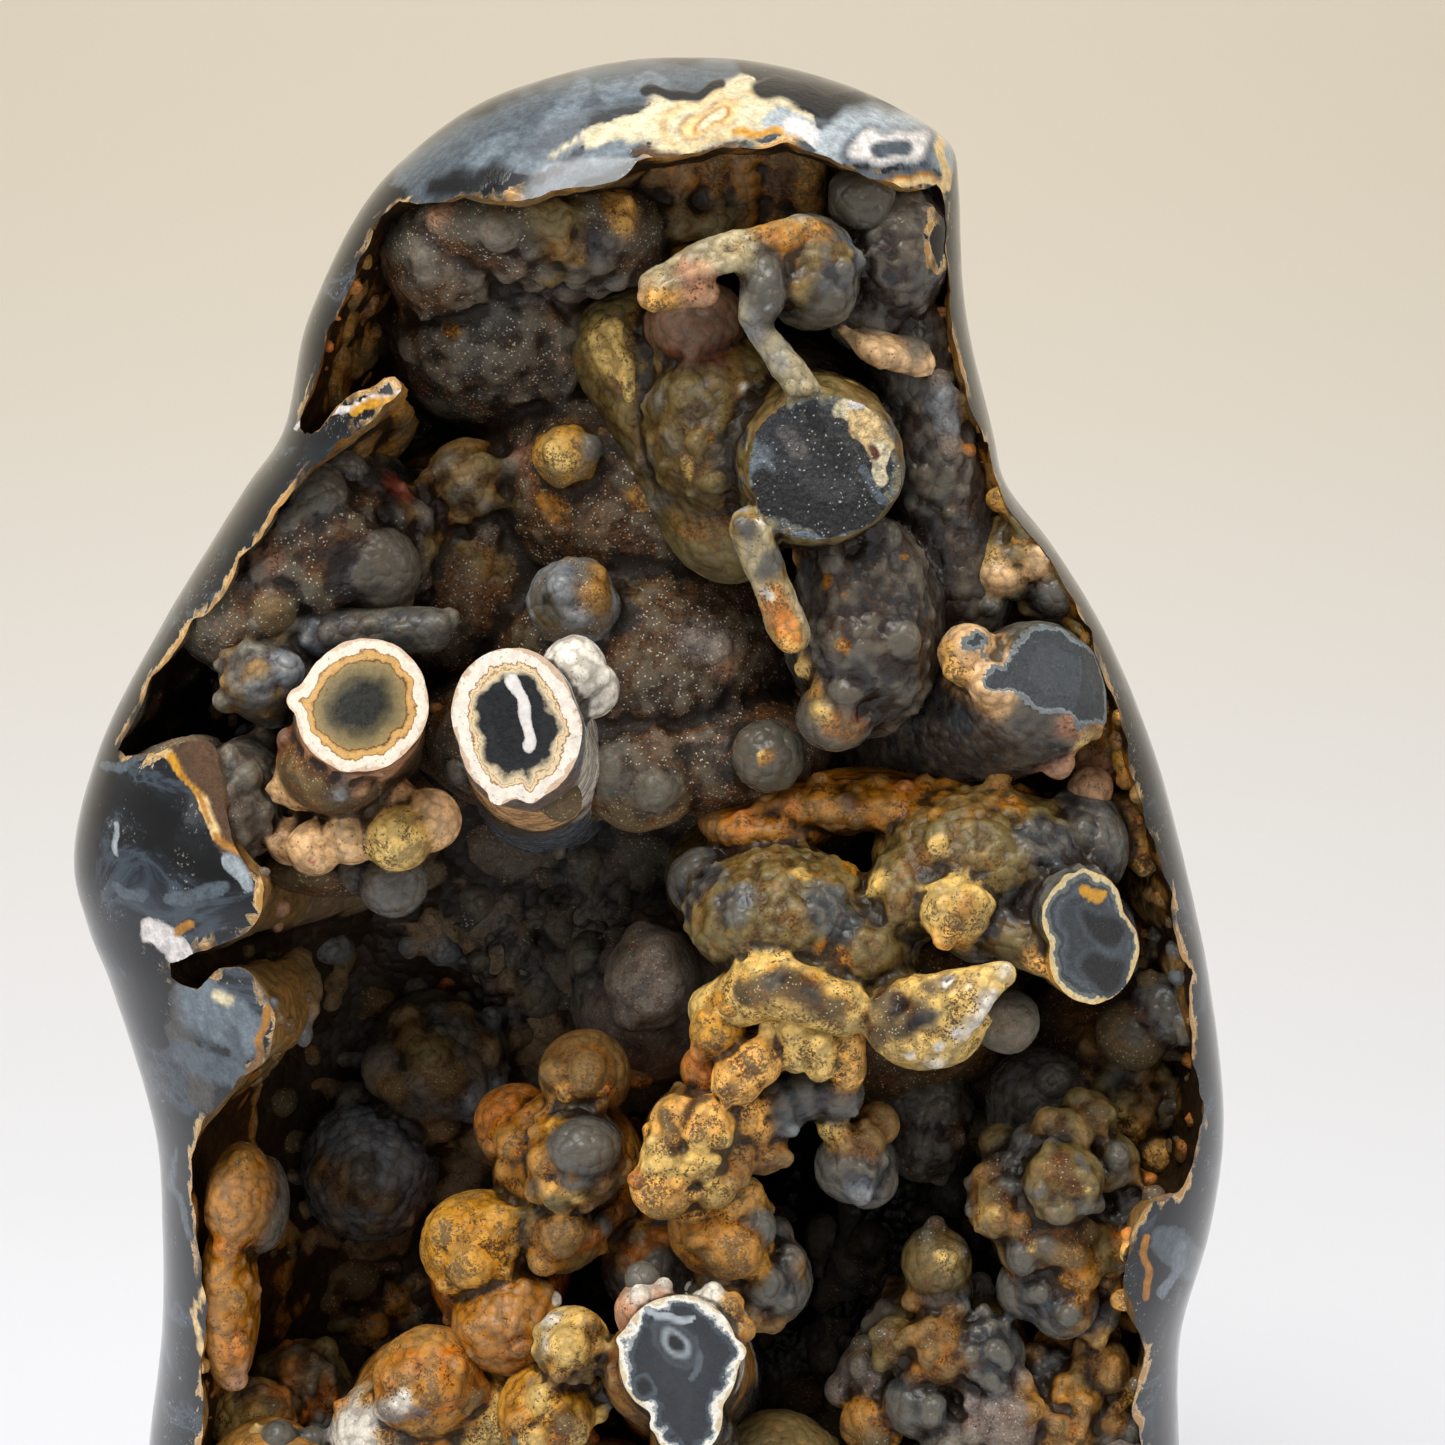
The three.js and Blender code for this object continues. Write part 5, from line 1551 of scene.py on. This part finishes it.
# Cut ends: how wavy their rings are in mm, and the rings from the rim inwards by distance in mm.
cutPlans = {
    "twinLeft": (0.5, [
        (0, (214, 186, 158)), (0.35, (234, 222, 204)), (1.5, (238, 226, 206)), (1.75, (150, 104, 56)),
        (1.95, (206, 162, 96)), (2.7, (188, 142, 76)), (2.9, (98, 66, 34)), (3.1, (150, 128, 82)),
        (4.2, (126, 110, 74)), (5.4, (80, 72, 48)), (6.6, (30, 30, 25)),
    ]),
    "twinRight": (0.7, [
        (0, (206, 176, 150)), (0.3, (236, 226, 212)), (1.8, (238, 228, 212)), (2.05, (150, 100, 52)),
        (2.25, (228, 206, 166)), (2.7, (176, 128, 70)), (2.85, (228, 208, 172)), (3.9, (24, 27, 30)),
        (6, (17, 20, 23)),
    ]),
    "darkCrystal": (1.2, [
        (0, (118, 110, 84)), (0.5, (104, 108, 104)), (1.1, (52, 56, 58)), (1.9, (34, 37, 41)),
        (3.0, (60, 58, 54)), (4.2, (34, 36, 39)), (6, (52, 50, 47)), (7, (30, 32, 35)),
    ]),
    "matteFacet": (0.6, [
        (0, (96, 102, 104)), (0.4, (112, 120, 122)), (0.7, (46, 51, 55)), (3, (54, 60, 64)),
    ]),
    "blackCore": (0.5, [
        (0, (214, 184, 124)), (0.4, (206, 190, 150)), (0.9, (96, 100, 98)), (1.6, (52, 58, 64)),
        (2.2, (72, 80, 88)), (3.6, (46, 52, 58)),
    ]),
    "peachCut": (0.5, [
        (0, (214, 168, 112)), (0.8, (232, 206, 160)), (1.6, (150, 104, 60)), (2.2, (222, 190, 140)),
    ]),
    "starCore": (0.8, [
        (0, (214, 196, 160)), (0.4, (238, 234, 222)), (1.1, (150, 156, 158)), (1.5, (60, 68, 76)),
        (2.2, (34, 39, 45)), (5, (40, 45, 52)),
    ]),
}
reliefs = {"darkCrystal": 1.6, "matteFacet": 0.2, "blackCore": 0.3, "others": 0.12}  # mm


def makeCut(name, wobble, bands):
    t = toolsFor(cutMaterials[name])
    reach, soft = 9.0, 0.07  # mm that the ramp covers, and half the blur between rings
    wavy = t.plus(t.attribute("edge", "Fac"), t.between(t.noise(2.6, 4), 0.25, 0.75, -wobble, wobble))
    stops = [(0.0, bands[0][1])]
    for (_, before), (at, colour) in zip(bands, bands[1:]):
        blur = soft if at < 3.5 else 1.0  # the core fades softly
        stops += [((at - blur) / reach, before), ((at + soft) / reach, colour)]
    colour = t.ramp(t.calc("DIVIDE", wavy, reach), stops)
    relief = reliefs.get(name, reliefs["others"])
    level = t.between(t.noise(1.1, 5), 0.3, 0.7, 0.9 - relief * 0.3, 1.05 + relief * 0.35)
    colour = t.timesGrey(colour, level)
    colour = t.mix(t.between(t.noise(0.6, 4), 0.6, 0.7, 0, 0.5), colour, (70, 46, 24))
    amount = t.plus(t.attribute("stainAndSheen", "Alpha"), t.between(t.noise(1.6), 0.25, 0.75, -0.25, 0.25))
    level = t.between(t.noise(0.9, 5), 0.3, 0.7, 0.9 - relief * 0.25, 1.05 + relief * 0.2)
    colour = t.mix(t.between(amount, 0.36, 0.64), colour, t.timesGrey(t.attribute("stainAndSheen"), level))
    # painted glints: white specks that stand for light caught on the crystal faces
    paintedGlint = t.between(t.minus(t.grains(0.22), 1 - relief * 0.014), 0, 0.01, 0, 0.8)
    colour = t.mix(paintedGlint, colour, (196, 198, 196))
    t.finish(colour, t.between(t.noise(1.2), 0.3, 0.7, 0.14, 0.42), t.noise(0.8, 4), relief)


makeRough()
makePolished()
for styleName, (wobble, bands) in cutPlans.items():
    makeCut(styleName, wobble, bands)
print("stone finishes")

# The wooden stand: an oval plinth with a moulded edge, a pocket for the stone and four low feet.
standPlan = {
    "half": (75, 60), "roundness": 2.3, "sides": 144,
    "edge": [(0, 0.6), (0.5, 0), (7, 0), (8, 0.6), (9.4, 3.4), (11, 5.4), (13, 6.7), (15, 7.2), (17, 6.7),
             (19, 5), (20, 3.4), (20.6, 2.9), (21.6, 2.6), (24.8, 2.7), (25.7, 3.1), (26, 3.9)],
    "pocketFloor": 17.6, "gap": 0.5, "footLong": 30, "channel": 4, "bevel": 0.5,
}


# A stack of oval rings: height, middle, half width, half depth and roundness of each.
def ovalStack(levels, sides, name):
    body = stackOf(sides, len(levels), name)
    for vertex in body.data.vertices:
        z, middle, halfX, halfY, power = levels[round(vertex.co.z)]
        turn = math.atan2(vertex.co.y, vertex.co.x)
        c, s = math.cos(turn), math.sin(turn)
        reach = (abs(c) ** power + abs(s) ** power) ** (-1 / power)
        vertex.co = Vector((middle + halfX * c * reach, halfY * s * reach, z)) * mm
    faceOutwards(body)
    return body


def makeStand(plan):
    halfX, halfY = plan["half"]
    levels = [(z, 0, halfX - inset, halfY - inset, plan["roundness"]) for z, inset in plan["edge"]]
    body = ovalStack(levels, plan["sides"], "woodStand")
    gap, power = plan["gap"], skinPlan["roundness"]
    pocket = [(z, (left + right) / 2, (right - left) / 2 + gap, deep + gap, power)
              for z, left, right, deep in skinPlan["stations"][:2]]
    pocket[0] = (plan["pocketFloor"], *pocket[0][1:])
    cutters = [ovalStack(pocket, plan["sides"], "pocket")]
    gapX, gapY = 2 * (halfX - plan["footLong"]), 2 * (halfY - plan["footLong"])  # between the feet
    for width, depth in ((3 * halfX, gapY), (gapX, 3 * halfY)):
        bpy.ops.mesh.primitive_cube_add(size=1, scale=(width * mm, depth * mm, 2 * plan["channel"] * mm))
        bpy.ops.object.transform_apply(location=True, rotation=True, scale=True)
        cutters.append(bpy.context.object)
    for cutter in cutters:
        applyModifier(body, "BOOLEAN", operation="DIFFERENCE", solver="MANIFOLD", object=cutter)
        remove(cutter)
    applyModifier(body, "BEVEL", width=plan["bevel"] * mm, segments=2, limit_method="ANGLE",
                  angle_limit=math.radians(50))
    activate(body)
    bpy.ops.object.shade_smooth_by_angle(angle=math.radians(35))
    return body


wood = bpy.data.materials.new("darkWood")


def makeWood():
    t = toolsFor(wood)
    stretched = nodeIn(t.tree, "ShaderNodeMapping", {"Vector": t.coord, "Scale": (0.06, 1, 1)}).outputs[0]
    grain = t.noise(1.6, 6, stretched, 0.6)
    colour = t.ramp(t.noise(7, 3, stretched, 1.2), [
        (0.3, (34, 20, 13)), (0.5, (56, 33, 21)), (0.62, (42, 25, 16)), (0.8, (70, 42, 26)),
    ])
    colour = t.mix(t.between(grain, 0.5, 0.75, 0, 0.6), colour, (22, 13, 9))
    pores = t.between(t.noise(0.5, 2, stretched), 0.6, 0.7)
    colour = t.mix(t.times(pores, 0.7), colour, (14, 9, 6))
    height = t.minus(t.times(grain, 0.4), pores)
    t.finish(colour, t.between(grain, 0.3, 0.7, 0.32, 0.5), height, 0.12,
             **{"Coat Weight": 0.25, "Coat Roughness": 0.2})


makeWood()
stand = makeStand(standPlan)
stand.data.materials.clear()
stand.data.materials.append(wood)
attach(stand, "root")
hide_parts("stand")
print("stand", len(stand.data.polygons))

# The plain pale stage, its lights and the camera.
stagePlan = {
    "width": 4.0, "near": -1.2, "bend": 0.35, "radius": 1.1, "height": 2.6, "bendSteps": 16,
    "low": (224, 227, 235), "high": (216, 207, 190),
}


def makeStage(plan):
    steps, radius = plan["bendSteps"], plan["radius"]
    turns = [i / steps * math.pi / 2 for i in range(1, steps + 1)]
    profile = [(plan["near"], 0.0), (plan["bend"], 0.0)]
    profile += [(plan["bend"] + radius * math.sin(a), radius * (1 - math.cos(a))) for a in turns]
    profile.append((plan["bend"] + radius, plan["height"]))
    bpy.ops.mesh.primitive_plane_add(size=1)
    sheet = bpy.context.object
    sheet.name = "backdrop"
    bpy.ops.object.mode_set(mode="EDIT")
    bpy.ops.mesh.select_mode(type="VERT")
    bpy.ops.mesh.select_all(action="DESELECT")
    bpy.ops.object.mode_set(mode="OBJECT")
    for vertex in sheet.data.vertices:
        vertex.select = vertex.co.y > 0
    bpy.ops.object.mode_set(mode="EDIT")
    for _ in profile[2:]:
        bpy.ops.mesh.extrude_region_move(TRANSFORM_OT_translate={"value": (0, 1, 0)})
    bpy.ops.mesh.select_mode(type="FACE")
    bpy.ops.object.mode_set(mode="OBJECT")
    for vertex in sheet.data.vertices:
        y, z = profile[round(vertex.co.y + 0.5)]
        vertex.co = (vertex.co.x * plan["width"], y, z)
    sheet.data.shade_smooth()
    return sheet


paper = bpy.data.materials.new("paper")


def makePaper(plan):
    t = toolsFor(paper)
    place = nodeIn(t.tree, "ShaderNodeSeparateXYZ", {0: t.coord}).outputs
    along = t.plus(place[1], place[2])  # how far back on the floor, then how high
    colour = t.ramp(t.between(along, 0.1, 1.6), [(0.0, plan["low"]), (1.0, plan["high"])])
    t.finish(colour, 0.9, t.noise(4, 2), 0.02)


makePaper(stagePlan)
backdrop = makeStage(stagePlan)
backdrop.data.materials.append(paper)

lightPlan = [  # name, place, aim, size, power, colour
    ("topSoftbox", (-0.25, -0.55, 1.25), (0, 0, 0.2), 0.7, 15, (1.0, 0.985, 0.96)),
    ("leftFill", (-1.1, -0.6, 0.6), (0, 0, 0.2), 0.6, 2.6, (0.94, 0.97, 1.0)),
    ("rightFill", (1.0, -0.5, 0.7), (0, 0, 0.2), 0.6, 3, (1.0, 0.97, 0.93)),
    ("backWash", (0, 0.3, 1.9), (0, 1.3, 0.5), 1.6, 9.5, (1.0, 0.98, 0.95)),
]
for name, place, aim, size, power, colour in lightPlan:
    bpy.ops.object.light_add(type="AREA", location=place)
    lamp = bpy.context.object
    lamp.name = name
    lamp.rotation_euler = (Vector(aim) - Vector(place)).to_track_quat("-Z", "Y").to_euler()
    lamp.data.size = size
    lamp.data.energy = power
    lamp.data.color = colour

roomPlan = {"Color": (1.0, 0.97, 0.92, 1), "Strength": 0.4}
world = bpy.data.worlds.new("room")
world.use_nodes = True
for socket, value in roomPlan.items():
    world.node_tree.nodes["Background"].inputs[socket].default_value = value
bpy.context.scene.world = world
bpy.context.scene.view_settings.view_transform = "Standard"

bpy.ops.object.camera_add(location=eye, rotation=(math.pi / 2 - view["pitch"], 0, 0))
camera = bpy.context.object
camera.data.sensor_width = 36
camera.data.lens = camera.data.sensor_width * view["distance"] / (view["side"] * view["dot"])
camera.data.clip_start = 0.01
bpy.context.scene.camera = camera
print("stage and camera")
